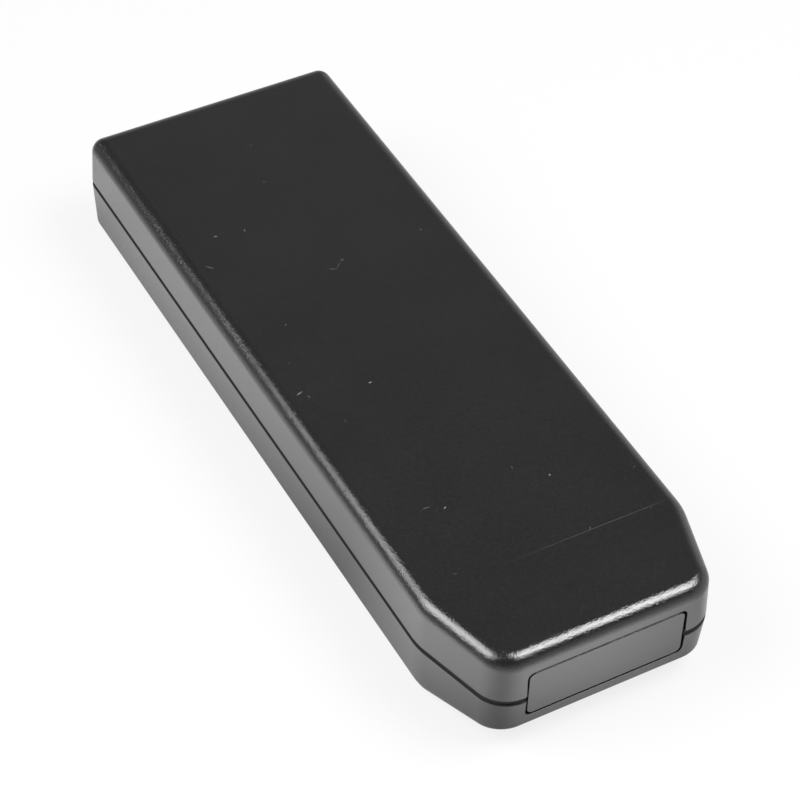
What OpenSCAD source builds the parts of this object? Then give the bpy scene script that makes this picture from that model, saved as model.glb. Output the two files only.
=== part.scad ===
// Handheld electronics enclosure, as used for remote controls and test instruments.
// Two moulded half shells meet at a tongue and groove and are held by four screws from below.
// A flat end panel is let into the tapered nose, across the joint, and a battery door slides
// out of the underside at the rear. The nose points to -Y and the underside rests on z = 0.

/* [Body] */
// Length from the nose to the rear end
body_l = 180; // [165:1:220]
// Width at the joint between the shells
body_w = 61.8; // [60.4:0.2:74]
// Height of the lower shell, from the underside to the joint
lower_h = 14.1; // [13.6:0.1:17]
// Height of the upper shell, from the joint to the top
upper_h = 12.1; // [11.4:0.1:18]
// Wall thickness of both shells
wall = 2; // [1.8:0.1:2.2]
// Radius along the top edge
top_r = 3.4; // [3:0.1:5]
// Radius along the bottom edge
bottom_r = 3; // [2.7:0.1:4]
// Lean of the upper shell's walls, in degrees
upper_draft = 2.2; // [0.5:0.1:3]
// Lean of the lower shell's walls, in degrees
lower_draft = 3; // [0.5:0.1:3.5]
// Radius of the rear corners, seen from above
rear_r = 3.5; // [2:0.5:6]

/* [Nose] */
// Width that each nose corner is cut back
nose_cut_w = 6.2; // [4:0.1:6.6]
// Length that each nose corner is cut back
nose_cut_l = 21.5; // [18:0.5:26]
// Radius of the two nose corners
nose_r = 7.5; // [5.5:0.1:8]
// Radius of the bend where the nose starts to narrow
shoulder_r = 16; // [8:1:24]
// Rise of the underside at the nose
nose_rise = 4.3; // [0:0.1:4.6]
// Fall of the top face from its crease to the nose
nose_fall = 0.25; // [0:0.05:0.6]

/* [Joint between the shells] */
// Width of the shadow gap along the sides
seam = 1.3; // [0.4:0.05:1.5]
// Width of the shadow gap at the nose
nose_seam = 1.45; // [0.4:0.05:1.6]
// Depth of the shadow gap
seam_deep = 0.5; // [0.3:0.05:0.7]
// Height of the tongue on the lower shell
lip_h = 1.5; // [1:0.1:2]
// Distance of the groove from the outside
lip_in = 1; // [0.9:0.05:1.1]
// Play between tongue and groove
lip_play = 0.15; // [0.1:0.05:0.2]

/* [End panel] */
// Width of the panel's face
panel_w = 35.6; // [30:0.2:36.4]
// Height of the panel's face
panel_h = 11.9; // [9:0.1:12.2]
// Corner radius of the panel's face and of its opening
panel_r = 1.4; // [1:0.1:3]
// Height of the panel's middle above the joint
panel_up = 0.65; // [0:0.05:0.8]
// Gap around the panel's face
panel_gap = 0.4; // [0.15:0.05:0.5]
// Depth that the panel's face lies below the nose
panel_sink = 0; // [0:0.05:0.4]
// Width of the flange around the panel's back
flange_w = 1.3; // [1:0.1:1.6]
// Thickness of that flange
flange_t = 1.2; // [0.8:0.1:1.6]

/* [Batteries] */
// Diameter of one of the two cells
cell_d = 14.5; // [10.5:0.5:14.5]
// Length of a cell
cell_l = 50.5; // [44.5:0.5:50.5]
// Play around each cell
cell_play = 0.4; // [0.3:0.05:0.5]
// Length that the contacts need at the cells' ends
contact_room = 6.5; // [5.5:0.1:8]
// Wall thickness of the battery bay
bay_wall = 1.6; // [1.2:0.1:1.8]
// Distance of the bay from the rear end
bay_in = 9; // [8:0.5:12]

/* [Battery door] */
// Thickness of the door
door_t = 2; // [1.8:0.1:2.2]
// Depth that the door lies below the surface around it
door_sink = 0.25; // [0.15:0.05:0.4]
// Play between the door and the shell
door_play = 0.3; // [0.2:0.05:0.4]
// Width of the door's guide flanges
guide_w = 1.2; // [1:0.1:1.4]
// Thickness of the ledges that carry the flanges
ledge_t = 1; // [0.8:0.05:1.1]
// Height of the door's rear lip
door_lip_h = 7; // [5:0.5:9]
// Number of grip grooves in the door
grip_count = 6; // [3:1:8]

/* [Screws and posts] */
// Length of a screw below its head
screw_l = 16; // [14:0.5:17]
// Diameter of a screw's shank
screw_d = 2.5; // [2.2:0.1:2.6]
// Diameter of a screw's head
head_d = 5.4; // [4.8:0.1:5.6]
// Distance of the screws from the sides
boss_side = 6.5; // [6.2:0.1:6.8]
// Distance of the rear screws from the rear end
boss_rear = 6.6; // [6:0.1:8]
// Distance of the front screws from the nose
boss_nose = 30; // [28:0.5:40]
// Diameter of a screw boss
boss_d = 6.4; // [5.6:0.1:6.8]
// Height of the posts that carry a circuit board, above the floor
post_h = 4; // [2:0.5:7]

/* [Hidden] */
$fn = 48;

plastic = "#2c2c2e";
plated = "#c9c7c0";
steel = "#8d8f92";

// How far a cut runs past what it cuts, and how far a rib reaches into what carries it
over = 1;
root = 0.1;
least_r = 0.4;
nose_y = -body_l / 2;
rear_y = body_l / 2;
joint_z = lower_h;

// The outline seen from above
cut_a = atan(nose_cut_w / nose_cut_l);
nose_steps = 10;
shoulder_steps = 4;
rear_steps = 7;
edge_steps = 7;
corners = [
    [[body_w / 2 - nose_cut_w, nose_y], -90, -cut_a, nose_r, nose_steps],
    [[body_w / 2, nose_y + nose_cut_l], -cut_a, 0, shoulder_r, shoulder_steps],
    [[body_w / 2, rear_y], 0, 90, rear_r, rear_steps]];
// Where the creases of the top face and of the underside meet the outline
top_crease = nose_steps + 1 + shoulder_steps;
low_crease = nose_steps + 1;

// End panel
panel_z = joint_z + panel_up;
flange_h = panel_h + 2 * flange_w;
flange_reach = flange_h / 2 + panel_up;
panel_lean = (panel_h / 2 + panel_up) * tan(max(upper_draft, lower_draft));
flange_lean = flange_reach * tan(max(upper_draft, lower_draft));
panel_y = nose_y + panel_lean + panel_sink;
seat_play = 0.1;
flange_y = nose_y + wall / cos(lower_draft) + flange_lean + seat_play;
rib_play = 0.15;
panel_rib_y = flange_y + flange_t + rib_play;
panel_rib_t = 1.5;
panel_rib_x = 0.4 * panel_w;

// Battery bay and its frame, which guides the door, with a hood behind the door's lip
bay_w = 2 * cell_d + 3 * cell_play;
bay_y1 = rear_y - bay_in;
bay_y0 = bay_y1 - cell_l - contact_room;
cell_x = (cell_d + cell_play) / 2;
door_z = door_sink + door_t;
guide_z = door_z + door_play;
bay_z = door_z + cell_d + 2 * cell_play;
door_w = bay_w + 2 * (bay_wall + door_play);
door_front = bay_y0 - bay_wall - door_play;
opening_w = door_w + 2 * door_play;
slot_w = door_w + 2 * guide_w + 2 * door_play;
slot_front = door_front - guide_w - door_play;
frame_wall = 1.9;
frame_roof = 1.5;
frame_w = slot_w + 2 * frame_wall;
frame_front = slot_front - frame_wall;
frame_h = guide_z + frame_roof;
door_lip_y = rear_y - door_z / cos(lower_draft) - lower_h * tan(lower_draft);
guide_rear = door_lip_y - 1;
hood_w = opening_w + 2 * bay_wall;
hood_y = door_lip_y - door_play - bay_wall;
hood_z = door_lip_h + door_play + bay_wall;

// Grip grooves of the door
grip_l = 14;
grip_w = 1.2;
grip_deep = 0.5;
grip_pitch = 2.4;
grip_in = 12;
grip_y = rear_y - grip_in;

// Sheet-metal contacts and their coil springs, whose rails and slots leave some play
sheet = 0.5;
sheet_play = 0.1;
tag_play = 0.2;
dome_d = 6;
dome_tip_d = 3.6;
dome_h = 1.1;
contact_w = 12;
contact_h = 11.5;
contact_z = guide_z + 0.6;
rail_t = 1;
rail_deep = 1.2;
tag_w = 3;
tag_out = 2;
tag_z = bay_z + bay_wall + tag_out;
wire_d = 0.8;
coil_d = 8;
coil_tip_d = 6;
coil_turns = 5;
coil_pitch = 1.6;
coil_steps = 14;
wire_sides = 8;

// Screws and bosses
boss_x = body_w / 2 - boss_side;
boss_ys = [nose_y + boss_nose, rear_y - boss_rear];
head_h = 2;
head_z = 1.2;
head_crown = 3.1;
recess_l = 3;
recess_w = 0.7;
recess_deep = 1.1;
screw_tip = 2;
screw_tip_d = 0.6;
shank_play = 0.4;
pilot_play = 0.02;
seat_z = head_z + head_h;
head_play = 0.4;
base_wall = 1.2;
base_d = head_d + 2 * (head_play + base_wall);
base_h = seat_z + bay_wall;
post_d = 5;
post_bore = 1.9;
post_in = 4.4;
post_rear = 10;
post_front = 6.5;
post_floor = 0.5;
post_x = boss_x - post_in;
post_ys = [nose_y + boss_nose + post_rear, frame_front - post_front];
rib_t = 1.2;
rib_h = 1.4;
rib_start = 22;
rib_pitch = 17;
rib_ys = [for (i = [0:2]) nose_y + boss_nose + rib_start + rib_pitch * i];

// A unit vector in the plane, from its angle
function dir(a) = [cos(a), sin(a)];

// Points of one rounded corner, moved inwards by inset
function corner_points(c, inset) =
    let (
        n1 = dir(c[1]),
        n2 = dir(c[2]),
        r = max(c[3] - inset, least_r),
        centre = c[0] - (inset + r) * (n1 + n2) / (1 + n1 * n2)
    )
    [for (i = [0:c[4]]) centre + r * dir(c[1] + (c[2] - c[1]) * i / c[4])];

// The whole outline, moved inwards by inset, anticlockwise from the middle of the nose
function outline(inset) =
    let (
        right = [for (c = corners) each corner_points(c, inset)],
        n = len(right)
    )
    concat(right, [for (i = [n - 1:-1:0]) [-right[i][0], right[i][1]]]);

// Share of the way from a crease at y = start to the nose
function share(y, start) = max(0, (start - y) / (start - nose_y));

// One ring of a shell's surface. A level gives its distance from the joint along the body,
// that distance at the nose, and its inset. side is 1 above the joint and -1 below it.
function ring(level, side, start) =
    [for (p = outline(level[2]))
        [p[0], p[1], joint_z + side * (level[0] + (level[1] - level[0]) * share(p[1], start))]];

// Levels of a wall that leans inwards and turns with radius r into the flat face at height h,
// moved inwards by off. The flat face moves by fall at the nose.
function wall_levels(h, draft, r, off, fall) =
    let (
        ri = max(r - off, least_r),
        tc = h - off - ri,
        ic = tc * tan(draft) + (off + ri) / cos(draft)
    )
    [for (i = [0:edge_steps])
        let (a = draft + (90 - draft) * i / edge_steps, t = tc + ri * sin(a))
        [t, t - fall * t / (h - off), ic - ri * cos(a)]];

// A closed solid through rings of equal length, whose last face is creased across at one index
module loft(levels, side, crease) {
    last = len(levels) - 1;
    start = outline(levels[last][2])[crease][1];
    rings = [for (level = levels) ring(level, side, start)];
    n = len(rings[0]);
    top = last * n;
    walls = [for (k = [0:last - 1], i = [0:n - 1])
        let (j = (i + 1) % n, a = k * n)
        each [[a + i, a + n + i, a + n + j], [a + i, a + n + j, a + j]]];
    first_face = [for (i = [0:n - 1]) i];
    flat_face = [for (i = [n - 1 - crease:-1:crease]) top + i];
    nose_face = [for (i = [0:2 * crease + 1]) top + (crease - i + n) % n];
    faces = concat(walls, [first_face, flat_face, nose_face]);
    polyhedron(
        [for (r = rings) each r],
        side > 0 ? faces : [for (f = faces) [for (i = [len(f) - 1:-1:0]) f[i]]]);
}

seam_levels = [
    [seam / 2, nose_seam / 2, seam_deep],
    [seam / 2, nose_seam / 2, 0]];

// The upper shell's form without its hollow
module upper_outside() {
    loft(concat([[0, 0, seam_deep]], seam_levels,
                wall_levels(upper_h, upper_draft, top_r, 0, nose_fall)), 1, top_crease);
}

// The space above the joint, moved inwards by off
module upper_inside(off) {
    loft(concat([[-over, -over, off / cos(upper_draft)], [0, 0, off / cos(upper_draft)]],
                wall_levels(upper_h, upper_draft, top_r, off, nose_fall)), 1, top_crease);
}

// The lower shell's form without its hollow, with the tongue
module lower_outside() {
    tongue = lip_in + lip_play;
    loft(concat([[-lip_h, -lip_h, tongue], [0, 0, tongue], [0, 0, seam_deep]], seam_levels,
                wall_levels(lower_h, lower_draft, bottom_r, 0, nose_rise)), -1, low_crease);
}

// The space below the joint, moved inwards by off
module lower_inside(off, reach) {
    loft(concat([[-reach, -reach, off / cos(lower_draft)], [0, 0, off / cos(lower_draft)]],
                wall_levels(lower_h, lower_draft, bottom_r, off, nose_rise)), -1, low_crease);
}

// A box between two corners
module block(low, high) {
    translate(low) cube(high - low);
}

// A rounded rectangle in the XZ plane, standing from y0 to y1
module face_plate(w, h, r, y0, y1) {
    translate([0, y1, panel_z]) rotate([90, 0, 0]) linear_extrude(y1 - y0)
        union() {
            square([w - 2 * r, h], center = true);
            square([w, h - 2 * r], center = true);
            for (x = [-1, 1], z = [-1, 1])
                translate([x * (w / 2 - r), z * (h / 2 - r)]) circle(r);
        }
}

// The opening that the end panel's face stands in
module panel_opening() {
    face_plate(panel_w + 2 * panel_gap, panel_h + 2 * panel_gap, panel_r,
               nose_y - over, flange_y);
}

// Posts that trap the panel's flange from behind, on one side of the joint
module panel_ribs(z0, z1) {
    for (x = [0, 1])
        mirror([x, 0, 0])
            block([panel_rib_x, panel_rib_y, z0], [body_w / 2, panel_rib_y + panel_rib_t, z1]);
}

// Low ribs across the inside of a shell
module cross_ribs(ys, z0, z1) {
    for (y = ys)
        block([-body_w / 2, y - rib_t / 2, z0], [body_w / 2, y + rib_t / 2, z1]);
}

// Places its children at the four screws
module at_screws() {
    for (x = [-boss_x, boss_x], y = boss_ys)
        translate([x, y, 0]) children();
}

// Places its children at the four circuit board posts
module at_posts() {
    for (x = [-post_x, post_x], y = post_ys)
        translate([x, y, 0]) children();
}

// Webs between the screw bosses and the side walls
module boss_webs(z0, z1) {
    for (m = [0, 1], y = boss_ys)
        mirror([m, 0, 0])
            block([boss_x, y - rib_t / 2, z0], [body_w / 2, y + rib_t / 2, z1]);
}

module top_shell() {
    pilot_z = seat_z + screw_l + over;
    color(plastic)
        difference() {
            union() {
                difference() {
                    upper_outside();
                    upper_inside(wall);
                }
                intersection() {
                    upper_inside(wall / 2);
                    union() {
                        panel_ribs(joint_z, joint_z + upper_h);
                        cross_ribs([for (i = [-2:2]) i * body_l / 7],
                                   joint_z + upper_h - wall - rib_h, joint_z + upper_h);
                        boss_webs(joint_z, joint_z + upper_h);
                        at_screws() translate([0, 0, joint_z]) cylinder(h = upper_h, d = boss_d);
                    }
                }
            }
            // Groove for the lower shell's tongue
            translate([0, 0, joint_z - over])
                linear_extrude(over + lip_h + lip_play)
                    difference() {
                        polygon(outline(lip_in));
                        polygon(outline(wall + lip_play));
                    }
            at_screws() translate([0, 0, joint_z - over])
                cylinder(h = pilot_z - joint_z + over, d = screw_d + 2 * pilot_play);
            panel_opening();
        }
}

// Frame around the door, box over the cells and hood behind the door's lip
module bay_outside() {
    block([-hood_w / 2, hood_y, wall / 2], [hood_w / 2, rear_y - wall / 2, hood_z]);
    block([-frame_w / 2, frame_front, wall / 2], [frame_w / 2, rear_y - wall / 2, frame_h]);
    block([-bay_w / 2 - bay_wall, bay_y0 - bay_wall, wall / 2],
          [bay_w / 2 + bay_wall, bay_y1 + bay_wall, bay_z + bay_wall]);
}

// Everything that the door and the cells need free
module bay_space() {
    block([-opening_w / 2, door_front - door_play, -over],
          [opening_w / 2, rear_y + over, ledge_t + root]);
    block([-slot_w / 2, slot_front, ledge_t], [slot_w / 2, rear_y + over, guide_z]);
    block([-bay_w / 2, bay_y0, -over], [bay_w / 2, bay_y1, bay_z]);
    block([-opening_w / 2, door_lip_y - door_play, -over],
          [opening_w / 2, rear_y + over, door_lip_h + door_play]);
    // Slots for the solder tags
    for (x = [-cell_x, cell_x])
        block([x - tag_w / 2 - tag_play, bay_y1 - sheet - 2 * tag_play, bay_z - over],
              [x + tag_w / 2 + tag_play, bay_y1, bay_z + bay_wall + over]);
}

// Cradle ribs over the cells and rails that hold the contacts
module bay_inside() {
    cradle_h = 0.3 * cell_d;
    for (s = [0.3, 0.7])
        difference() {
            y = bay_y0 + s * (bay_y1 - bay_y0);
            block([-bay_w / 2 - root, y - bay_wall / 2, bay_z - cradle_h],
                  [bay_w / 2 + root, y + bay_wall / 2, bay_z + root]);
            for (x = [-cell_x, cell_x])
                translate([x, y, door_z + cell_play + cell_d / 2]) rotate([90, 0, 0])
                    cylinder(h = 2 * bay_wall, d = cell_d + 2 * cell_play - root, center = true);
        }
    for (end = [0, 1], x = [-1, 0, 1]) {
        y = end == 0 ? bay_y0 + sheet + sheet_play : bay_y1 - sheet - sheet_play - rail_t;
        rail_x = x * (bay_w / 2 - rail_deep / 2);
        block([rail_x - rail_deep / 2 - root * abs(x), y, contact_z],
              [rail_x + rail_deep / 2 + root * abs(x), y + rail_t, bay_z + root]);
    }
}

module bottom_shell() {
    color(plastic)
        difference() {
            union() {
                difference() {
                    union() {
                        difference() {
                            lower_outside();
                            lower_inside(wall, lip_h + over);
                        }
                        intersection() {
                            lower_inside(wall / 2, bay_z);
                            union() {
                                bay_outside();
                                panel_ribs(0, joint_z);
                                cross_ribs(rib_ys, 0, wall + rib_h);
                                boss_webs(0, joint_z);
                                at_screws() cylinder(h = base_h, d = base_d);
                                at_screws() cylinder(h = joint_z, d = boss_d);
                                at_posts() cylinder(h = wall + post_h, d = post_d);
                            }
                        }
                    }
                    bay_space();
                }
                bay_inside();
            }
            at_screws() translate([0, 0, -over]) cylinder(h = seat_z + over, d = head_d + 2 * head_play);
            at_screws() translate([0, 0, -over])
                cylinder(h = joint_z + 2 * over, d = screw_d + 2 * shank_play);
            at_posts() translate([0, 0, wall + post_floor]) cylinder(h = post_h + over, d = post_bore);
            panel_opening();
        }
}

module end_panel() {
    color(plastic) {
        face_plate(panel_w, panel_h, panel_r, panel_y, flange_y + flange_t / 2);
        face_plate(panel_w + 2 * flange_w, flange_h, panel_r + flange_w,
                   flange_y, flange_y + flange_t);
    }
}

// The door's outer or inner line in the YZ plane, from the top of the lip to the floor
function door_line(off) =
    let (t = joint_z - door_lip_h)
    concat([[rear_y - off / cos(lower_draft) - t * tan(lower_draft), door_lip_h]],
           [for (level = wall_levels(lower_h, lower_draft, bottom_r, off, 0))
               [rear_y - level[2], joint_z - level[0]]]);

module battery_door() {
    outer = door_line(door_sink);
    inner = door_line(door_z);
    section = concat(outer, [[door_front, door_sink], [door_front, door_z]],
                     [for (i = [len(inner) - 1:-1:0]) inner[i]]);
    color(plastic)
        difference() {
            union() {
                rotate([90, 0, 90]) linear_extrude(door_w, center = true) polygon(section);
                block([-door_w / 2 - guide_w, door_front - guide_w, ledge_t + door_play - 0.05],
                      [door_w / 2 + guide_w, guide_rear, door_z]);
            }
            for (i = [0:grip_count - 1])
                translate([0, grip_y - i * grip_pitch, door_sink + grip_deep - over])
                    linear_extrude(over)
                        union() {
                            square([grip_l - grip_w, grip_w], center = true);
                            for (x = [-1, 1])
                                translate([x * (grip_l - grip_w) / 2, 0]) circle(d = grip_w);
                        }
        }
}

// Self-tapping screw with a pan head and a cross recess, its head's seat at z = 0
module screw() {
    difference() {
        union() {
            rotate_extrude()
                intersection() {
                    translate([0, -head_h]) square([head_d / 2, head_h]);
                    translate([0, head_crown - head_h]) circle(r = head_crown);
                }
            cylinder(h = screw_l - screw_tip, d = screw_d);
            translate([0, 0, screw_l - screw_tip])
                cylinder(h = screw_tip, d1 = screw_d, d2 = screw_tip_d);
        }
        for (a = [0, 90])
            rotate([0, 0, a]) translate([0, 0, -head_h])
                cube([recess_l, recess_w, 2 * recess_deep], center = true);
    }
}

module case_screws() {
    color(steel) at_screws() translate([0, 0, seat_z]) screw();
}

// A contact plate on the bay's front wall (end 0) or rear wall (end 1)
module contact_plate(x0, x1, end) {
    y = end == 0 ? bay_y0 : bay_y1 - sheet;
    block([x0, y, contact_z], [x1, y + sheet, contact_z + contact_h]);
}

// The pressed dome that meets a cell's button, pointing away from the end wall
module dome(x, end) {
    y = end == 0 ? bay_y0 + sheet : bay_y1 - sheet;
    translate([x, y, door_z + cell_play + cell_d / 2]) rotate([end == 0 ? -90 : 90, 0, 0])
        cylinder(h = dome_h, d1 = dome_d, d2 = dome_tip_d);
}

// The tag that a lead is soldered to, up through the bay's top
module solder_tag(x) {
    block([x - tag_w / 2, bay_y1 - sheet, contact_z + contact_h - root],
          [x + tag_w / 2, bay_y1, tag_z]);
}

module bridge_plate() {
    color(plated) {
        contact_plate(-cell_x - contact_w / 2, cell_x + contact_w / 2, 0);
        dome(cell_x, 0);
    }
}

module negative_plate() {
    color(plated) {
        contact_plate(cell_x - contact_w / 2, cell_x + contact_w / 2, 1);
        solder_tag(cell_x);
    }
}

module positive_plate() {
    color(plated) {
        contact_plate(-cell_x - contact_w / 2, -cell_x + contact_w / 2, 1);
        solder_tag(-cell_x);
        dome(-cell_x, 1);
    }
}

// Height of the wire's middle after u turns: the first and last turns are nearly closed
function coil_rise(u) =
    let (close = wire_d + 0.1, n = coil_turns)
    u < 1 ? close * u
        : u < n - 1 ? close + coil_pitch * (u - 1)
            : close + coil_pitch * (n - 2) + close * (u - n + 1);

function coil_radius(u) = (coil_d + (coil_tip_d - coil_d) * u / coil_turns - wire_d) / 2;

// Conical coil spring on the z axis, standing on z = 0
module coil() {
    n = coil_turns * coil_steps;
    points = [for (k = [0:n])
        let (u = k / coil_steps, a = 360 * u, r = coil_radius(u), z = wire_d / 2 + coil_rise(u))
        for (i = [0:wire_sides - 1])
            let (b = 360 * i / wire_sides, q = r + wire_d / 2 * cos(b))
            [q * cos(a), q * sin(a), z + wire_d / 2 * sin(b)]];
    sides = [for (k = [0:n - 1], i = [0:wire_sides - 1])
        let (j = (i + 1) % wire_sides, a = k * wire_sides, b = a + wire_sides)
        each [[a + i, b + j, b + i], [a + i, a + j, b + j]]];
    first_end = [for (i = [wire_sides - 1:-1:0]) i];
    last_end = [for (i = [0:wire_sides - 1]) n * wire_sides + i];
    polyhedron(points, concat(sides, [first_end, last_end]));
}

// A coil spring seated on a contact plate, pointing at its cell
module cell_spring(x, end) {
    y = end == 0 ? bay_y0 + sheet : bay_y1 - sheet;
    translate([x, y, door_z + cell_play + cell_d / 2]) rotate([end == 0 ? -90 : 90, 0, 0])
        translate([0, 0, 0.05]) coil();
}

module bridge_spring() {
    color(steel) cell_spring(-cell_x, 0);
}

module negative_spring() {
    color(steel) cell_spring(cell_x, 1);
}

top_shell();
bottom_shell();
end_panel();
battery_door();
case_screws();
bridge_plate();
bridge_spring();
negative_plate();
negative_spring();
positive_plate();
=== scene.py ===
"""Handheld electronics enclosure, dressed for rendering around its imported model.

Every piece is a loft: a grid of points, ring by ring, worked out with numpy from the sizes in
the property groups. Booleans then join and cut the lofts where the mouldings have ribs, bosses
and openings. Lengths are in metres, the nose points to -Y and the underside rests on z = 0.
"""

import math

import bmesh
import bpy
import numpy as np
from bpy.props import FloatProperty, FloatVectorProperty, IntProperty, PointerProperty
from mathutils import Matrix, Vector


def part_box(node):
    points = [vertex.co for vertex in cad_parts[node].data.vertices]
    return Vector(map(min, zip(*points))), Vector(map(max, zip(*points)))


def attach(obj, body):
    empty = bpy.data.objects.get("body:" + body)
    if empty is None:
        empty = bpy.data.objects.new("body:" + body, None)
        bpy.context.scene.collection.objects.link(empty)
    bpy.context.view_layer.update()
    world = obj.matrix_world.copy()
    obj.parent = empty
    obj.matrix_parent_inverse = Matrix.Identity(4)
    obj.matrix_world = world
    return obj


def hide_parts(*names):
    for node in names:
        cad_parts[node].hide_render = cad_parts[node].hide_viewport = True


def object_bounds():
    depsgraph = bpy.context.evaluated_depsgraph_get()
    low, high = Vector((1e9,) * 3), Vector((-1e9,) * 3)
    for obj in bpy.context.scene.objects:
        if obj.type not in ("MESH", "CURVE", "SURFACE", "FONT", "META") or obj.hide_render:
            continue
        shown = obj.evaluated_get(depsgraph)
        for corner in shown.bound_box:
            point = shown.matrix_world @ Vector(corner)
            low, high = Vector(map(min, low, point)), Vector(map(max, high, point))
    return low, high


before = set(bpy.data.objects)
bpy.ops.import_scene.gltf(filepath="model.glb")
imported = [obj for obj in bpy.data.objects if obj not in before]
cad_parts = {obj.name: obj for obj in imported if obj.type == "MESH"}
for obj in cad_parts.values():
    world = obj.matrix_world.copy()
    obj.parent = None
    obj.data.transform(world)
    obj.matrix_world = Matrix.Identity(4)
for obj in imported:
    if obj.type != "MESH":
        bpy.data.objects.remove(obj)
cad_low, cad_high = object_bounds()
joint_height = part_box("top_shell")[0].z

bl_info = {
    "name": "Handheld Electronics Enclosure",
    "version": (1, 0, 0),
    "blender": (4, 5, 0),
    "location": "3D View > Sidebar > Enclosure",
    "description": "Moulded handheld enclosure with a let-in end panel and a sliding battery door",
    "category": "Object",
}

MM = 0.001
# How far a cut runs past what it cuts, and how far a rib reaches into what carries it
OVER = 1 * MM
ROOT = 0.1 * MM
# The smallest corner radius that an outline keeps as it moves inwards, and the rounding of
# corners and creases that count as sharp
LEAST_R = 0.4 * MM
SHARP_R = 0.01 * MM


def length(name, description, default):
    """A length in metres."""
    return FloatProperty(name=name, description=description, default=default,
                         unit="LENGTH", precision=5)


def lean(name, description, degrees):
    """An angle, given in degrees."""
    return FloatProperty(name=name, description=description, default=math.radians(degrees),
                         subtype="ANGLE")


def share_of(name, description, default):
    """A share from 0 to 1."""
    return FloatProperty(name=name, description=description, default=default,
                         min=0, max=1, subtype="FACTOR")


def colour(name, description, default):
    """A linear colour."""
    return FloatVectorProperty(name=name, description=description, default=default,
                               size=3, min=0, max=1, subtype="COLOR")


class BodySizes(bpy.types.PropertyGroup):
    """Sizes that both half shells share."""
    length: length("Length", "From the nose to the rear end", cad_high.y - cad_low.y)
    width: length("Width", "At the joint between the shells", cad_high.x - cad_low.x)
    lower_h: length("Lower height", "From the underside to the joint", joint_height)
    upper_h: length("Upper height", "From the joint to the top", cad_high.z - joint_height)
    wall: length("Wall", "Thickness of both shells", 2 * MM)
    top_r: length("Top radius", "Radius along the top edge", 3.4 * MM)
    bottom_r: length("Bottom radius", "Radius along the bottom edge", 3 * MM)
    upper_draft: lean("Upper draft", "Lean of the upper shell's walls", 2.2)
    lower_draft: lean("Lower draft", "Lean of the lower shell's walls", 3)
    rear_r: length("Rear radius", "Radius of the rear corners, seen from above", 3.5 * MM)
    cut_w: length("Nose cut width", "Width that each nose corner is cut back", 6.2 * MM)
    cut_l: length("Nose cut length", "Length that each nose corner is cut back", 21.5 * MM)
    nose_r: length("Nose radius", "Radius of the two nose corners", 7.5 * MM)
    shoulder_r: length("Shoulder radius", "Bend where the nose starts to narrow", 16 * MM)
    rise: length("Nose rise", "Rise of the underside at the nose", 4.3 * MM)
    fall: length("Nose fall", "Fall of the top face from its crease to the nose", 0.25 * MM)
    crease: length("Crease", "Half the width over which a crease is rounded", 0.3 * MM)
    edge: length("Edge", "Radius of the fine edges along gaps", 0.08 * MM)


class SeamSizes(bpy.types.PropertyGroup):
    """Shadow gap, tongue and groove between the shells."""
    gap: length("Gap", "Width of the shadow gap along the sides", 1.3 * MM)
    nose_gap: length("Nose gap", "Width of the shadow gap at the nose", 1.45 * MM)
    depth: length("Depth", "Depth of the shadow gap", 0.5 * MM)
    lip_h: length("Tongue height", "Height of the tongue on the lower shell", 1.5 * MM)
    lip_in: length("Groove inset", "Distance of the groove from the outside", 1 * MM)
    lip_play: length("Tongue play", "Play between tongue and groove", 0.15 * MM)


class PanelSizes(bpy.types.PropertyGroup):
    """The flat panel let into the nose."""
    width: length("Width", "Width of the panel's face", 35.6 * MM)
    height: length("Height", "Height of the panel's face", 11.9 * MM)
    corner_r: length("Corner radius", "Corner radius of the panel's face and opening", 1.4 * MM)
    up: length("Up", "Height of the panel's middle above the joint", 0.65 * MM)
    gap: length("Gap", "Gap around the panel's face", 0.4 * MM)
    sink: length("Sink", "Depth of the panel's face below the nose", 0.0)
    flange_w: length("Flange width", "Width of the flange round the panel's back", 1.3 * MM)
    flange_t: length("Flange thickness", "Thickness of that flange", 1.2 * MM)
    edge: length("Edge", "Radius of the edges along the panel's gap", 0.2 * MM)


class BaySizes(bpy.types.PropertyGroup):
    """Battery bay, its door and its contacts."""
    cell_d: length("Cell diameter", "Diameter of one of the two cells", 14.5 * MM)
    cell_l: length("Cell length", "Length of a cell", 50.5 * MM)
    cell_play: length("Cell play", "Play around each cell", 0.4 * MM)
    contact_room: length("Contact room", "Length for the contacts at the cells' ends", 6.5 * MM)
    wall: length("Bay wall", "Wall thickness of the battery bay", 1.6 * MM)
    rear: length("Bay inset", "Distance of the bay from the rear end", 9 * MM)
    door_t: length("Door thickness", "Thickness of the door", 2 * MM)
    door_sink: length("Door sink", "Depth of the door below the surface", 0.25 * MM)
    door_play: length("Door play", "Play between the door and the shell", 0.3 * MM)
    guide_w: length("Guide width", "Width of the door's guide flanges", 1.2 * MM)
    ledge_t: length("Ledge", "Thickness of the ledges that carry the flanges", 1 * MM)
    lip_h: length("Lip height", "Height of the door's rear lip", 7 * MM)
    grip_count: IntProperty(name="Grip grooves", description="Number of grip grooves",
                            default=6, min=0, max=8)
    sheet: length("Sheet", "Thickness of the contacts' sheet metal", 0.5 * MM)
    wire_d: length("Wire", "Diameter of the springs' wire", 0.8 * MM)


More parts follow.
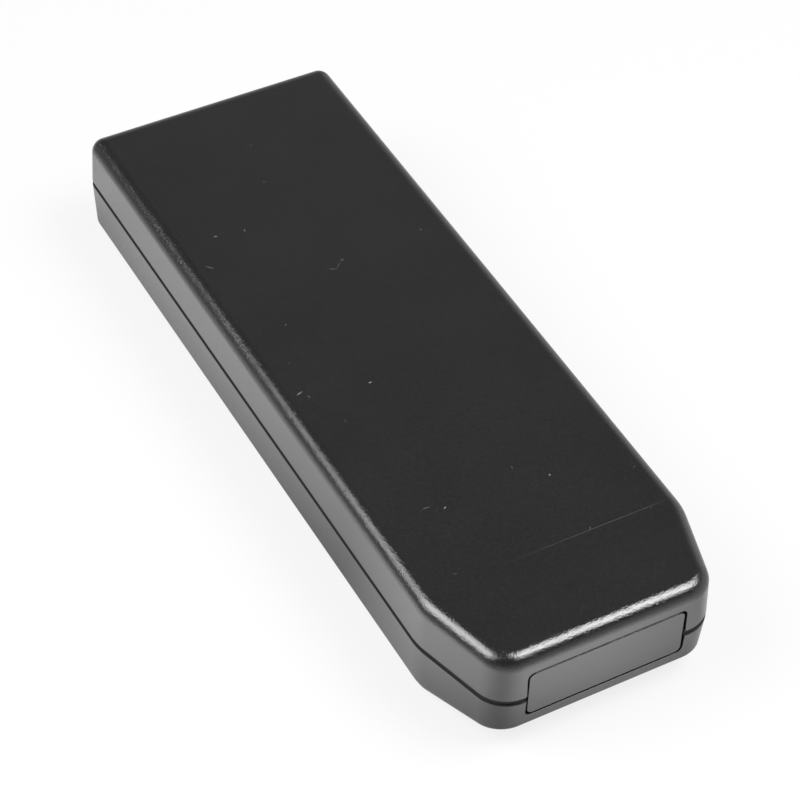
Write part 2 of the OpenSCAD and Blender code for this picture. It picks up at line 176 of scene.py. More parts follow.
class ScrewSizes(bpy.types.PropertyGroup):
    """Case screws, their bosses and the posts for a circuit board."""
    shank_l: length("Shank length", "Length of a screw below its head", 16 * MM)
    shank_d: length("Shank diameter", "Diameter of a screw's shank", 2.5 * MM)
    head_d: length("Head diameter", "Diameter of a screw's head", 5.4 * MM)
    head_h: length("Head height", "Height of a screw's head", 2 * MM)
    pitch: length("Pitch", "Pitch of a screw's thread", 1 * MM)
    side: length("Side distance", "Distance of the screws from the sides", 6.5 * MM)
    rear: length("Rear distance", "Distance of the rear screws from the rear end", 6.6 * MM)
    nose: length("Nose distance", "Distance of the front screws from the nose", 30 * MM)
    boss_d: length("Boss diameter", "Diameter of a screw boss", 6.4 * MM)
    post_h: length("Post height", "Height of the circuit board posts", 4 * MM)


class FinishLook(bpy.types.PropertyGroup):
    """Colours and surface of the plastics and metals."""
    plastic: colour("Plastic", "Black of the shells and the door", (0.0215, 0.0215, 0.0218))
    panel: colour("Panel", "Black of the end panel", (0.0215, 0.0215, 0.0218))
    worn: colour("Worn", "Scuffed plastic in scratches and specks", (0.28, 0.28, 0.28))
    roughness: share_of("Roughness", "Roughness of the spark-eroded plastic", 0.1)
    grain: length("Grain", "Size of the spark-eroded texture's grains", 0.28 * MM)
    grain_h: length("Grain height", "Height of those grains", 0.055 * MM)
    steel: colour("Steel", "Zinc-plated screws", (0.42, 0.42, 0.43))
    nickel: colour("Nickel", "Nickel-plated contacts", (0.66, 0.64, 0.6))


class StudioLook(bpy.types.PropertyGroup):
    """Camera, lamps and floor."""
    azimuth: lean("Azimuth", "Camera's angle round the object", -30.153)
    elevation: lean("Elevation", "Camera's angle above the floor", 45.25)
    roll: lean("Roll", "Camera's turn about its own axis", 2.296)
    distance: length("Distance", "From the camera to the point it looks at", 605.76 * MM)
    focal: length("Focal length", "Lens on a sensor 36 mm wide", 125.9 * MM)
    look_h: length("Look height", "Height of the point that the camera looks at", 12 * MM)
    look_right: length("Look right", "That point's shift to the camera's right", 2.311 * MM)
    look_up: length("Look up", "That point's shift up in the camera's view", -3.296 * MM)
    side_lamp: FloatProperty(name="Side lamp", description="Brightness of the left softbox",
                             default=5.3, min=0)
    top_lamp: FloatProperty(name="Top lamp", description="Brightness of the upper softbox",
                            default=8.3, min=0)
    fill: FloatProperty(name="Fill", description="Strength of the room's even light",
                        default=0.12, min=0)


class EnclosureSizes(bpy.types.PropertyGroup):
    """All that a user would change on the enclosure."""
    body: PointerProperty(type=BodySizes)
    seam: PointerProperty(type=SeamSizes)
    panel: PointerProperty(type=PanelSizes)
    bay: PointerProperty(type=BaySizes)
    screw: PointerProperty(type=ScrewSizes)
    finish: PointerProperty(type=FinishLook)
    studio: PointerProperty(type=StudioLook)


class Plan:
    """Places and sizes that follow from the user's sizes."""

    def __init__(self, sizes):
        self.sizes = sizes
        self.body, self.seam, self.panel = sizes.body, sizes.seam, sizes.panel
        self.bay, self.screw = sizes.bay, sizes.screw
        self.nose_y = -self.body.length / 2
        self.rear_y = self.body.length / 2
        self.side_x = self.body.width / 2
        self.joint_z = self.body.lower_h
        self.top_z = self.body.lower_h + self.body.upper_h
        self.place_outline(self.body)
        self.place_panel(self.body, self.panel)
        self.place_bay(self.body, self.bay)
        self.place_contacts(self.bay)
        self.place_screws(self.screw, self.bay)

    def place_outline(self, body):
        """The outline's corners, each as its corner point, its two wall angles and its radius,
        then the creases and the stations along the side."""
        cut = math.atan(body.cut_w / body.cut_l)
        self.cut = cut
        self.nose_corner = ((self.side_x - body.cut_w, self.nose_y), -math.pi / 2, -cut,
                            body.nose_r)
        self.shoulder = ((self.side_x, self.nose_y + body.cut_l), -cut, 0, body.shoulder_r)
        self.rear_corner = ((self.side_x, self.rear_y), 0, math.pi / 2, body.rear_r)

        # Creases of the top face and of the underside, outside and inside the wall
        bend_y = corner_arc(self.shoulder, np.zeros(1))[0][0, 1]
        self.top_crease = bend_y
        self.low_crease, self.low_crease_in = [
            bend_y - (body.shoulder_r - flat_inset(body.lower_h, body.lower_draft,
                                                   body.bottom_r, off)) * math.sin(cut)
            for off in (0, body.wall)]
        soft = body.crease * np.array([-1, -0.4, 0.4, 1])
        arc_start = bend_y - body.shoulder_r * math.sin(cut)
        bend_steps = 12
        straight = np.array([30, 80, 130]) * MM
        self.stations = np.unique(np.round(np.concatenate([
            np.linspace(arc_start, bend_y, bend_steps), self.top_crease + soft,
            self.low_crease + soft, [self.low_crease_in], bend_y + straight]), 6))

    def place_panel(self, body, panel):
        """The end panel, the flange behind it and the posts that trap the flange."""
        draft = math.tan(max(body.upper_draft, body.lower_draft))
        seat_play, rib_play = 0.1 * MM, 0.15 * MM
        self.panel_z = self.joint_z + panel.up
        self.flange_h = panel.height + 2 * panel.flange_w
        self.panel_y = self.nose_y + (panel.height / 2 + panel.up) * draft + panel.sink
        self.flange_y = (self.nose_y + body.wall / math.cos(body.lower_draft)
                         + (self.flange_h / 2 + panel.up) * draft + seat_play)
        self.panel_rib_y = self.flange_y + panel.flange_t + rib_play
        self.panel_rib_t = 1.5 * MM
        self.panel_rib_x = 0.4 * panel.width

    def place_bay(self, body, bay):
        """The battery bay, its door and the hood behind the door's lip."""
        frame_wall, frame_roof, guide_in, grip_in = 1.9 * MM, 1.5 * MM, 1 * MM, 12 * MM
        self.bay_w = 2 * bay.cell_d + 3 * bay.cell_play
        self.bay_y1 = self.rear_y - bay.rear
        self.bay_y0 = self.bay_y1 - bay.cell_l - bay.contact_room
        self.cell_x = (bay.cell_d + bay.cell_play) / 2
        self.door_z = bay.door_sink + bay.door_t
        self.guide_z = self.door_z + bay.door_play
        self.bay_z = self.door_z + bay.cell_d + 2 * bay.cell_play
        self.cell_z = self.door_z + bay.cell_play + bay.cell_d / 2
        self.door_w = self.bay_w + 2 * (bay.wall + bay.door_play)
        self.door_front = self.bay_y0 - bay.wall - bay.door_play
        self.opening_w = self.door_w + 2 * bay.door_play
        self.slot_w = self.door_w + 2 * bay.guide_w + 2 * bay.door_play
        self.slot_front = self.door_front - bay.guide_w - bay.door_play
        self.frame_w = self.slot_w + 2 * frame_wall
        self.frame_front = self.slot_front - frame_wall
        self.frame_h = self.guide_z + frame_roof
        self.door_lip_y = (self.rear_y - self.door_z / math.cos(body.lower_draft)
                           - body.lower_h * math.tan(body.lower_draft))
        self.guide_rear = self.door_lip_y - guide_in
        self.hood_w = self.opening_w + 2 * bay.wall
        self.hood_y = self.door_lip_y - bay.door_play - bay.wall
        self.hood_z = bay.lip_h + bay.door_play + bay.wall
        self.grip_y = self.rear_y - grip_in
        # Corner radii of the door and of its opening
        self.door_r = 0.4 * MM
        self.opening_r = 0.6 * MM

    def place_contacts(self, bay):
        """The sheet contacts and their solder tags, at both ends of the bay."""
        contact_lift, tag_out = 0.6 * MM, 2 * MM
        self.contact_w = 12 * MM
        self.contact_h = 11.5 * MM
        self.contact_z = self.guide_z + contact_lift
        self.sheet_edge = 0.08 * MM
        self.tag_w = 3 * MM
        self.tag_z = self.bay_z + bay.wall + tag_out

    def place_screws(self, screw, bay):
        """The case screws and their bosses, the circuit board posts and the floor's ribs."""
        head_z, head_play, shank_play, pilot_play = 1.2 * MM, 0.4 * MM, 0.4 * MM, 0.02 * MM
        base_wall, post_in, post_rear, post_front = 1.2 * MM, 4.4 * MM, 10 * MM, 6.5 * MM
        # The floor's ribs, 17 mm apart, as distances behind the front screws
        floor_ribs = np.array([22, 39, 56]) * MM
        self.boss_x = self.side_x - screw.side
        self.boss_ys = (self.nose_y + screw.nose, self.rear_y - screw.rear)
        self.seat_z = head_z + screw.head_h
        self.head_hole_d = screw.head_d + 2 * head_play
        self.shank_hole_d = screw.shank_d + 2 * shank_play
        self.pilot_d = screw.shank_d + 2 * pilot_play
        self.base_d = self.head_hole_d + 2 * base_wall
        self.base_h = self.seat_z + bay.wall
        self.post_d = 5 * MM
        self.post_bore = 1.9 * MM
        self.post_floor = 0.5 * MM
        self.post_x = self.boss_x - post_in
        self.post_ys = (self.nose_y + screw.nose + post_rear, self.frame_front - post_front)
        self.rib_t = 1.2 * MM
        self.rib_h = 1.4 * MM
        self.floor_rib_ys = self.nose_y + screw.nose + floor_ribs

    def screw_places(self):
        """Where the four case screws stand."""
        return [(x, y) for x in (-self.boss_x, self.boss_x) for y in self.boss_ys]

    def post_places(self):
        """Where the four circuit board posts stand."""
        return [(x, y) for x in (-self.post_x, self.post_x) for y in self.post_ys]


def flat_inset(height, draft, radius, off):
    """How far in the flat face of a wall starts: its lean over the straight part, plus the
    radius. The surface is moved inwards by off."""
    small = max(radius - off, LEAST_R)
    return (height - off - small) * math.tan(draft) + (off + small) / math.cos(draft)


def corner_arc(corner, inset):
    """Centres (k, 2) and radii (k) of a corner's arc, for k insets: the centre is the corner
    point moved back along both walls' normals by the inset plus the radius that is left."""
    point, start, end, radius = corner
    left = np.maximum(radius - inset, LEAST_R)
    n1 = np.array([math.cos(start), math.sin(start)])
    n2 = np.array([math.cos(end), math.sin(end)])
    return np.array(point) - (inset + left)[:, None] * (n1 + n2) / (1 + n1 @ n2), left


def arc_points(corner, inset, steps):
    """Points (k, steps + 1, 2) along a corner's arc, centre + radius * (cos a, sin a)."""
    centre, radius = corner_arc(corner, inset)
    a = np.linspace(corner[1], corner[2], steps + 1)
    turned = np.stack([np.cos(a), np.sin(a)], axis=-1)
    return centre[:, None] + radius[:, None, None] * turned


def side_points(plan, inset):
    """Points (k, stations, 2) along the side, whose y are the plan's stations: x follows the
    cut-back nose up to the shoulder, then the shoulder's arc, then the straight side."""
    centre, radius = corner_arc(plan.shoulder, inset)
    y = plan.stations[None, :]
    cx, cy, r = centre[:, :1], centre[:, 1:], radius[:, None]
    arc_y = cy - r * math.sin(plan.cut)
    arc = cx + np.sqrt(np.maximum(r ** 2 - (y - cy) ** 2, 0))
    cut = cx + r * math.cos(plan.cut) + (y - arc_y) * math.tan(plan.cut)
    x = np.where(y > cy, cx + r, np.where(y > arc_y, arc, cut))
    return np.stack([x, np.broadcast_to(y, x.shape)], axis=-1)


def mirrored(right):
    """A closed outline from its right half: the half, then its mirror image on the way back."""
    return np.concatenate([right, right[:, ::-1] * [-1, 1]], axis=1)


def outline(plan, inset):
    """The enclosure's plan outline (k, n, 2), anticlockwise, for k insets."""
    inset = np.asarray(inset, float)
    return mirrored(np.concatenate([
        arc_points(plan.nose_corner, inset, 20),
        side_points(plan, inset),
        arc_points(plan.rear_corner, inset, 14)], axis=1))


def shell_rings(plan, levels, side, soft):
    """Rings of a half shell. A level is its height from the joint, that height at the nose,
    its inset and the y of its crease. Between the crease and the nose the height goes from the
    first to the second in proportion to y, and the crease is rounded over 2 * soft."""
    t, t_nose, inset, crease = (np.asarray(levels)[:, i] for i in range(4))
    flat = outline(plan, inset)
    past = crease[:, None] - flat[..., 1]
    eased = np.where(past > soft, past, np.maximum(past + soft, 0) ** 2 / (4 * soft))
    share = eased / (crease[:, None] - plan.nose_y)
    height = t[:, None] + (t_nose - t)[:, None] * share
    return np.concatenate([flat, (plan.joint_z + side * height)[..., None]], axis=-1)


def wall_levels(height, draft, radius, off, fall, crease, steps=16):
    """Levels of a wall that leans inwards by draft and turns with a radius into the flat face
    at that height, moved inwards by off: an arc from the draft angle to a quarter turn."""
    small = max(radius - off, LEAST_R)
    a = np.linspace(draft, math.pi / 2, steps + 1)
    centre = height - off - small
    t = centre + small * np.sin(a)
    inset = flat_inset(height, draft, radius, off) - small * np.cos(a)
    return np.stack([t, t * (1 - fall / (height - off)), inset, np.full_like(t, crease)], 1)


def lip_levels(gap, nose_gap, depth, edge, crease, steps=4):
    """Levels of a shell's edge at the shadow gap: its floor, then a quarter round of radius
    edge into the wall."""
    a = np.linspace(0, math.pi / 2, steps + 1)
    up = np.concatenate([[0], edge * (1 - np.cos(a))])
    inset = np.concatenate([[depth], edge * (1 - np.sin(a))])
    return np.stack([gap / 2 + up, nose_gap / 2 + up, inset, np.full_like(up, crease)], 1)


def rim_levels(crease, *pairs):
    """Levels from pairs of height and inset that are the same at the nose."""
    return np.array([(t, t, inset, crease) for t, inset in pairs])


def ring_faces(rings, points):
    """Faces of a closed loft: quads between neighbouring rings, and strips across the first
    and the last ring, from each point of the right half to its mirror image."""
    i = np.arange(rings - 1)[:, None] * points
    j = np.arange(points)[None, :]
    k = (j + 1) % points
    walls = np.stack([i + j, i + k, i + k + points, i + j + points], -1).reshape(-1, 4)
    s = np.arange(points // 2 - 1)
    strips = np.stack([s, s + 1, points - 2 - s, points - 1 - s], -1)
    return np.concatenate([walls, strips[:, ::-1], strips + (rings - 1) * points])


def loft(name, rings):
    """A closed mesh through rings (k, n, 3), whose faces are turned outwards by the sign of
    the volume that they enclose."""
    k, n = rings.shape[:2]
    points = rings.reshape(-1, 3)
    faces = ring_faces(k, n)
    a, b, c, d = (points[faces[:, i]] for i in range(4))
    middle = points.mean(0)
    volume = sum(np.einsum("ij,ij->i", p - middle, np.cross(q - middle, r - middle)).sum()
                 for p, q, r in ((a, b, c), (a, c, d)))
    if volume < 0:
        faces = faces[:, ::-1]
    mesh = bpy.data.meshes.new(name)
    mesh.from_pydata(points.tolist(), [], faces.tolist())
    mesh.validate()
    piece = bpy.data.objects.new(name, mesh)
    bpy.context.scene.collection.objects.link(piece)
    return piece


def block(low, high):
    """A box between two corners."""
    (x0, y0, z0), (x1, y1, z1) = low, high
    ring = np.array([(x1, y0), (x1, y1), (x0, y1), (x0, y0)])
    return loft("block", np.stack([np.column_stack([ring, np.full(4, z)]) for z in (z0, z1)]))


def turned_rings(radius, along, sides=48, middle=(0, 0)):
    """Rings of a turned form about an upright axis: radius (k) or (k, sides) at heights along,
    middle + radius * (cos a, sin a), with a starting half a step off the -Y direction."""
    a = -math.pi / 2 + (np.arange(sides) + 0.5) * 2 * math.pi / sides
    radius = np.asarray(radius, float)
    radius = np.broadcast_to(radius.reshape(len(along), -1), (len(along), sides))
    z = np.broadcast_to(np.asarray(along, float)[:, None], radius.shape)
    return np.stack([middle[0] + radius * np.cos(a), middle[1] + radius * np.sin(a), z], -1)


def cylinder(x, y, z0, z1, diameter, sides=48):
    """An upright cylinder."""
    return loft("cylinder", turned_rings([diameter / 2] * 2, [z0, z1], sides, (x, y)))


def frame_rings(width, height, radius, levels, runs=1, steps=8):
    """Rings (k, n, 3) of a rounded rectangle in (u, v, depth): each level is a depth and how
    far the outline has grown there. The long sides are cut into runs stretches."""
    depth, grow = np.asarray(levels, float).T
    u, v = width / 2 - radius, height / 2 - radius
    r = np.maximum(radius + grow, SHARP_R)[:, None]
    a = np.linspace(-math.pi / 2, 0, steps + 1)[None, :]
    low = np.stack([u + r * np.cos(a), -v + r * np.sin(a)], -1)
    high = low[:, ::-1] * [1, -1]
    between = np.linspace(-v, v, runs + 1)[None, 1:-1]
    side = np.stack(np.broadcast_arrays(u + r, between), -1)
    flat = mirrored(np.concatenate([low, side, high], axis=1))
    return np.concatenate([flat, np.broadcast_to(depth[:, None, None], flat.shape[:2] + (1,))], -1)


def mouth_levels(edge, deep):
    """Levels of a cutter whose mouth leaves a rounded edge: it starts outside the surface on
    the slope of the round, follows it to its full size, and ends at depth deep."""
    a = np.radians([25, 45, 65, 90])
    depth, grow = edge * (1 - np.cos(a)), edge * (1 - np.sin(a))
    out = OVER / 2
    slope = (grow[0] - grow[1]) / (depth[1] - depth[0])
    return [(-out, grow[0] + slope * (out + depth[0])), *zip(depth, grow), (deep, 0)]


def edge_levels(thickness, front, back):
    """Levels of a plate whose front and back edges are quarter rounds."""
    a = np.radians([0, 30, 60, 90])
    depth = np.concatenate([front * (1 - np.cos(a)), thickness - back * (1 - np.cos(a[::-1]))])
    grow = np.concatenate([front * (np.sin(a) - 1), back * (np.sin(a[::-1]) - 1)])
    return list(zip(depth, grow))


def shape(piece, operation, *tools):
    """Joins tools to a piece, cuts them from it or keeps what they share, and removes them."""
    for tool in tools:
        modifier = piece.modifiers.new(operation.lower(), "BOOLEAN")
        modifier.operation = operation
        modifier.solver = "EXACT"
        modifier.object = tool
        ready = bpy.context.evaluated_depsgraph_get()
        result = bpy.data.meshes.new_from_object(piece.evaluated_get(ready))
        if not result.polygons:
            raise RuntimeError(f"{operation} with {tool.name} left nothing of {piece.name}")
        piece.modifiers.clear()
        before, piece.data = piece.data, result
        bpy.data.meshes.remove(before)
        bpy.data.meshes.remove(tool.data)
    return piece


def joined(tools):
    """One solid from several that overlap."""
    return shape(tools[0], "UNION", *tools[1:])


def gathered(pieces):
    """One piece with the meshes of several that don't touch."""
    mesh = bmesh.new()
    for piece in pieces:
        mesh.from_mesh(piece.data)
    mesh.to_mesh(pieces[0].data)
    mesh.free()
    for piece in pieces[1:]:
        bpy.data.meshes.remove(piece.data)
    return pieces[0]


def dress(piece, name, body, slot, material, *nodes):
    """Finishes a piece: its name, smooth shading that leaves sharp edges, its material, the
    body that it rides on and the nodes that it stands for."""
    sharp_angle = math.radians(32)
    piece.name = piece.data.name = name
    piece.data.materials.clear()
    piece.data.materials.append(material)
    piece.data.shade_smooth()
    piece.data.set_sharp_from_angle(angle=sharp_angle)
    weighted = piece.modifiers.new("flat faces stay flat", "WEIGHTED_NORMAL")
    weighted.keep_sharp = True
    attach(piece, body)
    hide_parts(*nodes)
    return piece


def upper_inside(plan, off):
    """The space under the top shell's skin, moved inwards by off."""
    body = plan.body
    rim = off / math.cos(body.upper_draft)
    levels = np.concatenate([
        rim_levels(plan.top_crease, (-OVER, rim), (0, rim)),
        wall_levels(body.upper_h, body.upper_draft, body.top_r, off, body.fall,
                    plan.top_crease, steps=6)])
    return loft("upper_inside", shell_rings(plan, levels, 1, SHARP_R))


def lower_inside(plan, off, reach):
    """The space over the bottom shell's skin, moved inwards by off and open by reach."""
    body = plan.body
    rim = off / math.cos(body.lower_draft)
    levels = np.concatenate([
        rim_levels(plan.low_crease_in, (-reach, rim), (0, rim)),
        wall_levels(body.lower_h, body.lower_draft, body.bottom_r, off, body.rise,
                    plan.low_crease_in, steps=6)])
    return loft("lower_inside", shell_rings(plan, levels, -1, SHARP_R))


def panel_opening(plan):
    """Cutter for the end panel's opening. Its depth is measured from the nose's two leaning
    faces, so that the rounded mouth follows them."""
    body, panel = plan.body, plan.panel
    deep = plan.flange_y - plan.nose_y
    rings = frame_rings(panel.width + 2 * panel.gap, panel.height + 2 * panel.gap,
                        panel.corner_r, mouth_levels(panel.edge, deep), runs=12)
    u, v, depth = np.moveaxis(rings, -1, 0)
    above = v + panel.up
    surface = np.where(above > 0, above * math.tan(body.upper_draft),
                       -above * math.tan(body.lower_draft))
    y = plan.nose_y + depth + surface * (depth < deep)
    return loft("panel_opening", np.stack([u, y, plan.panel_z + v], -1))


def panel_ribs(plan, z0, z1):
    """Posts that trap the panel's flange from behind."""
    y0, y1 = plan.panel_rib_y, plan.panel_rib_y + plan.panel_rib_t
    return [block((low, y0, z0), (high, y1, z1))
            for low, high in ((plan.panel_rib_x, plan.side_x), (-plan.side_x, -plan.panel_rib_x))]


def cross_ribs(plan, ys, z0, z1):
    """Low ribs across the inside of a shell."""
    return [block((-plan.side_x, y - plan.rib_t / 2, z0), (plan.side_x, y + plan.rib_t / 2, z1))
            for y in ys]


def boss_webs(plan, z0, z1):
    """Webs between the screw bosses and the side walls."""
    return [block((min(x, s), y - plan.rib_t / 2, z0), (max(x, s), y + plan.rib_t / 2, z1))
            for y in plan.boss_ys
            for x, s in ((plan.boss_x, plan.side_x), (-plan.boss_x, -plan.side_x))]


def top_shell(plan, material):
    """The top shell: one loft from the ceiling down the inner wall, round the groove and the
    shadow gap and up the outside, with its ribs and bosses."""
    body, seam, screw = plan.body, plan.seam, plan.screw
    crease = plan.top_crease
    inner = wall_levels(body.upper_h, body.upper_draft, body.top_r, body.wall, body.fall,
                        crease, steps=8)
    rim = body.wall / math.cos(body.upper_draft)
    groove = seam.lip_h + seam.lip_play
    levels = np.concatenate([
        inner[::-1],
        rim_levels(crease, (groove, rim + groove * math.tan(body.upper_draft)),
                   (groove, seam.lip_in), (0, seam.lip_in), (0, seam.depth)),
        lip_levels(seam.gap, seam.nose_gap, seam.depth, body.edge, crease),
        wall_levels(body.upper_h, body.upper_draft, body.top_r, 0, body.fall, crease)])
    shell = loft("top_shell", shell_rings(plan, levels, 1, body.crease))
    joint, top = plan.joint_z, plan.top_z
    # Five ribs, a seventh of the length apart
    rib_ys = [i * body.length / 7 for i in range(-2, 3)]
    details = (panel_ribs(plan, joint, top)
               + cross_ribs(plan, rib_ys, top - body.wall - plan.rib_h, top)
               + boss_webs(plan, joint, top)
               + [cylinder(x, y, joint, top, screw.boss_d) for x, y in plan.screw_places()])
    inside = upper_inside(plan, body.wall / 2)
    shape(shell, "UNION", *[shape(d, "INTERSECT", copy_of(inside)) for d in details])
    bpy.data.meshes.remove(inside.data)
    pilot_z = plan.seat_z + screw.shank_l + OVER
    groove_rings = outline(plan, [seam.lip_in, body.wall + seam.lip_play])
    shape(shell, "DIFFERENCE",
          groove_cutter(plan, groove_rings, joint - OVER, joint + groove),
          *[cylinder(x, y, joint - OVER, pilot_z, plan.pilot_d) for x, y in plan.screw_places()],
          panel_opening(plan))
    return dress(shell, "moulded_top_shell", "case", "black_plastic", material, "top_shell")


def copy_of(piece):
    """Another object with its own copy of a piece's mesh."""
    twin = bpy.data.objects.new(piece.name, piece.data.copy())
    bpy.context.scene.collection.objects.link(twin)
    return twin


def groove_cutter(plan, rings, z0, z1):
    """A ring-shaped wall between two outlines, from z0 to z1, closed onto itself."""
    outer, inner = rings
    n = len(outer)
    loops = [(outer, z0), (outer, z1), (inner, z1), (inner, z0)]
    points = np.concatenate([np.column_stack([loop, np.full(n, z)]) for loop, z in loops])
    i = np.arange(4)[:, None]
    j = np.arange(n)[None, :]
    k, m = (j + 1) % n, (i + 1) % 4
    faces = np.stack([i * n + j, i * n + k, m * n + k, m * n + j], -1).reshape(-1, 4)
    mesh = bpy.data.meshes.new("groove")
    mesh.from_pydata(points.tolist(), [], faces.tolist())
    cutter = bpy.data.objects.new("groove", mesh)
    bpy.context.scene.collection.objects.link(cutter)
    return cutter


def underside_point(plan, u, v, depth):
    """A point of the rear underside from its width u, its way v along the surface from where
    the flat ends, and its depth below the surface: flat, then an arc, then the leaning wall."""
    body = plan.body
    r, draft = body.bottom_r, body.lower_draft
    start_y = plan.rear_y - flat_inset(body.lower_h, draft, r, 0)
    turn = math.pi / 2 - draft
    a = np.clip(v / r, 0, turn)
    past = np.maximum(v - r * turn, 0)
    y = start_y + np.minimum(v, 0) + (r - depth) * np.sin(a) + past * math.sin(draft)
    z = r - (r - depth) * np.cos(a) + past * math.cos(draft)
    return np.stack([np.broadcast_to(u, y.shape), y, z], -1)


def wrapped(plan, width, front, lip, levels, radius):
    """A rounded plate or cutter that follows the rear underside from y = front to height lip.
    Its outline lies in (width, way along the surface), and levels give depths."""
    body = plan.body
    r, draft = body.bottom_r, body.lower_draft
    start_y = plan.rear_y - flat_inset(body.lower_h, draft, r, 0)
    turn = math.pi / 2 - draft
    v0 = front - start_y
    v1 = r * turn + (lip - r * (1 - math.cos(turn))) / math.cos(draft)
    flat_v, least_r = -30 * MM, 0.02 * MM
    bend_steps, corner_steps = 10, 5
    depth, grow = np.asarray(levels, float).T
    a = np.linspace(0, math.pi / 2, corner_steps)
    rr = np.maximum(radius + grow, least_r)[:, None]
    half = width / 2 - radius
    front_v = v0 + radius - rr * np.cos(a)
    front_u = half + rr * np.sin(a)
    rear_v = v1 - radius + rr * np.sin(a)
    rear_u = half + rr * np.cos(a)
    mid = np.concatenate([[flat_v], np.linspace(0, r * turn, bend_steps)])
    mid_v = np.broadcast_to(mid, (len(depth), len(mid)))
    mid_u = np.broadcast_to(half + rr, mid_v.shape)
    right = np.stack([np.concatenate([front_u, mid_u, rear_u], 1),
                      np.concatenate([front_v, mid_v, rear_v], 1)], -1)
    flat = mirrored(right)
    deep = np.broadcast_to(depth[:, None], flat.shape[:2])
    return loft("wrapped", underside_point(plan, flat[..., 0], flat[..., 1], deep))


def bottom_shell(plan, material):
    """The bottom shell: one loft from the floor up the inner wall, round the tongue and the
    shadow gap and down the outside, with its bay, door channel, bosses, posts and ribs."""
    body, seam, screw, bay = plan.body, plan.seam, plan.screw, plan.bay
    crease, crease_in = plan.low_crease, plan.low_crease_in
    inner = wall_levels(body.lower_h, body.lower_draft, body.bottom_r, body.wall, body.rise,
                        crease_in, steps=8)
    rim = body.wall / math.cos(body.lower_draft)
    tongue = seam.lip_in + seam.lip_play
    chamfer = 0.2 * MM
    levels = np.concatenate([
        inner[::-1],
        rim_levels(crease, (0, rim), (-seam.lip_h, rim), (-seam.lip_h, tongue + chamfer),
                   (-seam.lip_h + chamfer, tongue), (0, tongue), (0, seam.depth)),
        lip_levels(seam.gap, seam.nose_gap, seam.depth, body.edge, crease),
        wall_levels(body.lower_h, body.lower_draft, body.bottom_r, 0, body.rise, crease)])
    shell = loft("bottom_shell", shell_rings(plan, levels, -1, body.crease))
    joint = plan.joint_z
    half_frame, half_bay, half_hood = plan.frame_w / 2, plan.bay_w / 2 + bay.wall, plan.hood_w / 2
    low, rear = body.wall / 2, plan.rear_y - body.wall / 2
    post_z = body.wall + screw.post_h
    details = ([block((-half_hood, plan.hood_y, low), (half_hood, rear, plan.hood_z)),
                block((-half_frame, plan.frame_front, low), (half_frame, rear, plan.frame_h)),
                block((-half_bay, plan.bay_y0 - bay.wall, low),
                      (half_bay, plan.bay_y1 + bay.wall, plan.bay_z + bay.wall))]
               + panel_ribs(plan, 0, joint)
               + cross_ribs(plan, plan.floor_rib_ys, 0, body.wall + plan.rib_h)
               + boss_webs(plan, 0, joint)
               + [cylinder(x, y, 0, plan.base_h, plan.base_d) for x, y in plan.screw_places()]
               + [cylinder(x, y, 0, joint, screw.boss_d) for x, y in plan.screw_places()]
               + [cylinder(x, y, 0, post_z, plan.post_d) for x, y in plan.post_places()])
    inside = lower_inside(plan, body.wall / 2, plan.bay_z)
    shape(shell, "UNION", *[shape(d, "INTERSECT", copy_of(inside)) for d in details])
    bpy.data.meshes.remove(inside.data)
    shape(shell, "DIFFERENCE", *bay_space(plan))
    shape(shell, "UNION", *bay_inside(plan))
    mouth = np.array(mouth_levels(body.edge, plan.seat_z))
    shape(shell, "DIFFERENCE",
          *[loft("counterbore", turned_rings(plan.head_hole_d / 2 + mouth[:, 1], mouth[:, 0],
                                             middle=place)) for place in plan.screw_places()],
          *[cylinder(x, y, OVER, joint + 2 * OVER, plan.shank_hole_d)
            for x, y in plan.screw_places()],
          *[cylinder(x, y, body.wall + plan.post_floor, post_z + OVER, plan.post_bore)
            for x, y in plan.post_places()],
          panel_opening(plan))
    return dress(shell, "moulded_bottom_shell", "case", "black_plastic", material,
                 "bottom_shell")


def bay_space(plan):
    """Cutters for all that the door and the cells need free."""
    bay = plan.bay
    half_open, half_slot, half_bay = plan.opening_w / 2, plan.slot_w / 2, plan.bay_w / 2
    rear = plan.rear_y + OVER
    lip_z = bay.lip_h + bay.door_play
    tag_play = 0.2 * MM
    tag = plan.tag_w / 2 + tag_play
    mouth = wrapped(plan, plan.opening_w, plan.door_front - bay.door_play, lip_z,
                    mouth_levels(plan.body.edge, bay.ledge_t + ROOT), plan.opening_r)
    return [mouth,
            block((-half_slot, plan.slot_front, bay.ledge_t), (half_slot, rear, plan.guide_z)),
            block((-half_bay, plan.bay_y0, 0), (half_bay, plan.bay_y1, plan.bay_z)),
            block((-half_open, plan.door_lip_y - bay.door_play, bay.ledge_t),
                  (half_open, plan.rear_y - plan.body.wall / 2, lip_z)),
            *[block((x - tag, plan.bay_y1 - bay.sheet - 2 * tag_play, plan.bay_z - OVER),
                    (x + tag, plan.bay_y1, plan.bay_z + bay.wall + OVER))
              for x in (-plan.cell_x, plan.cell_x)]]


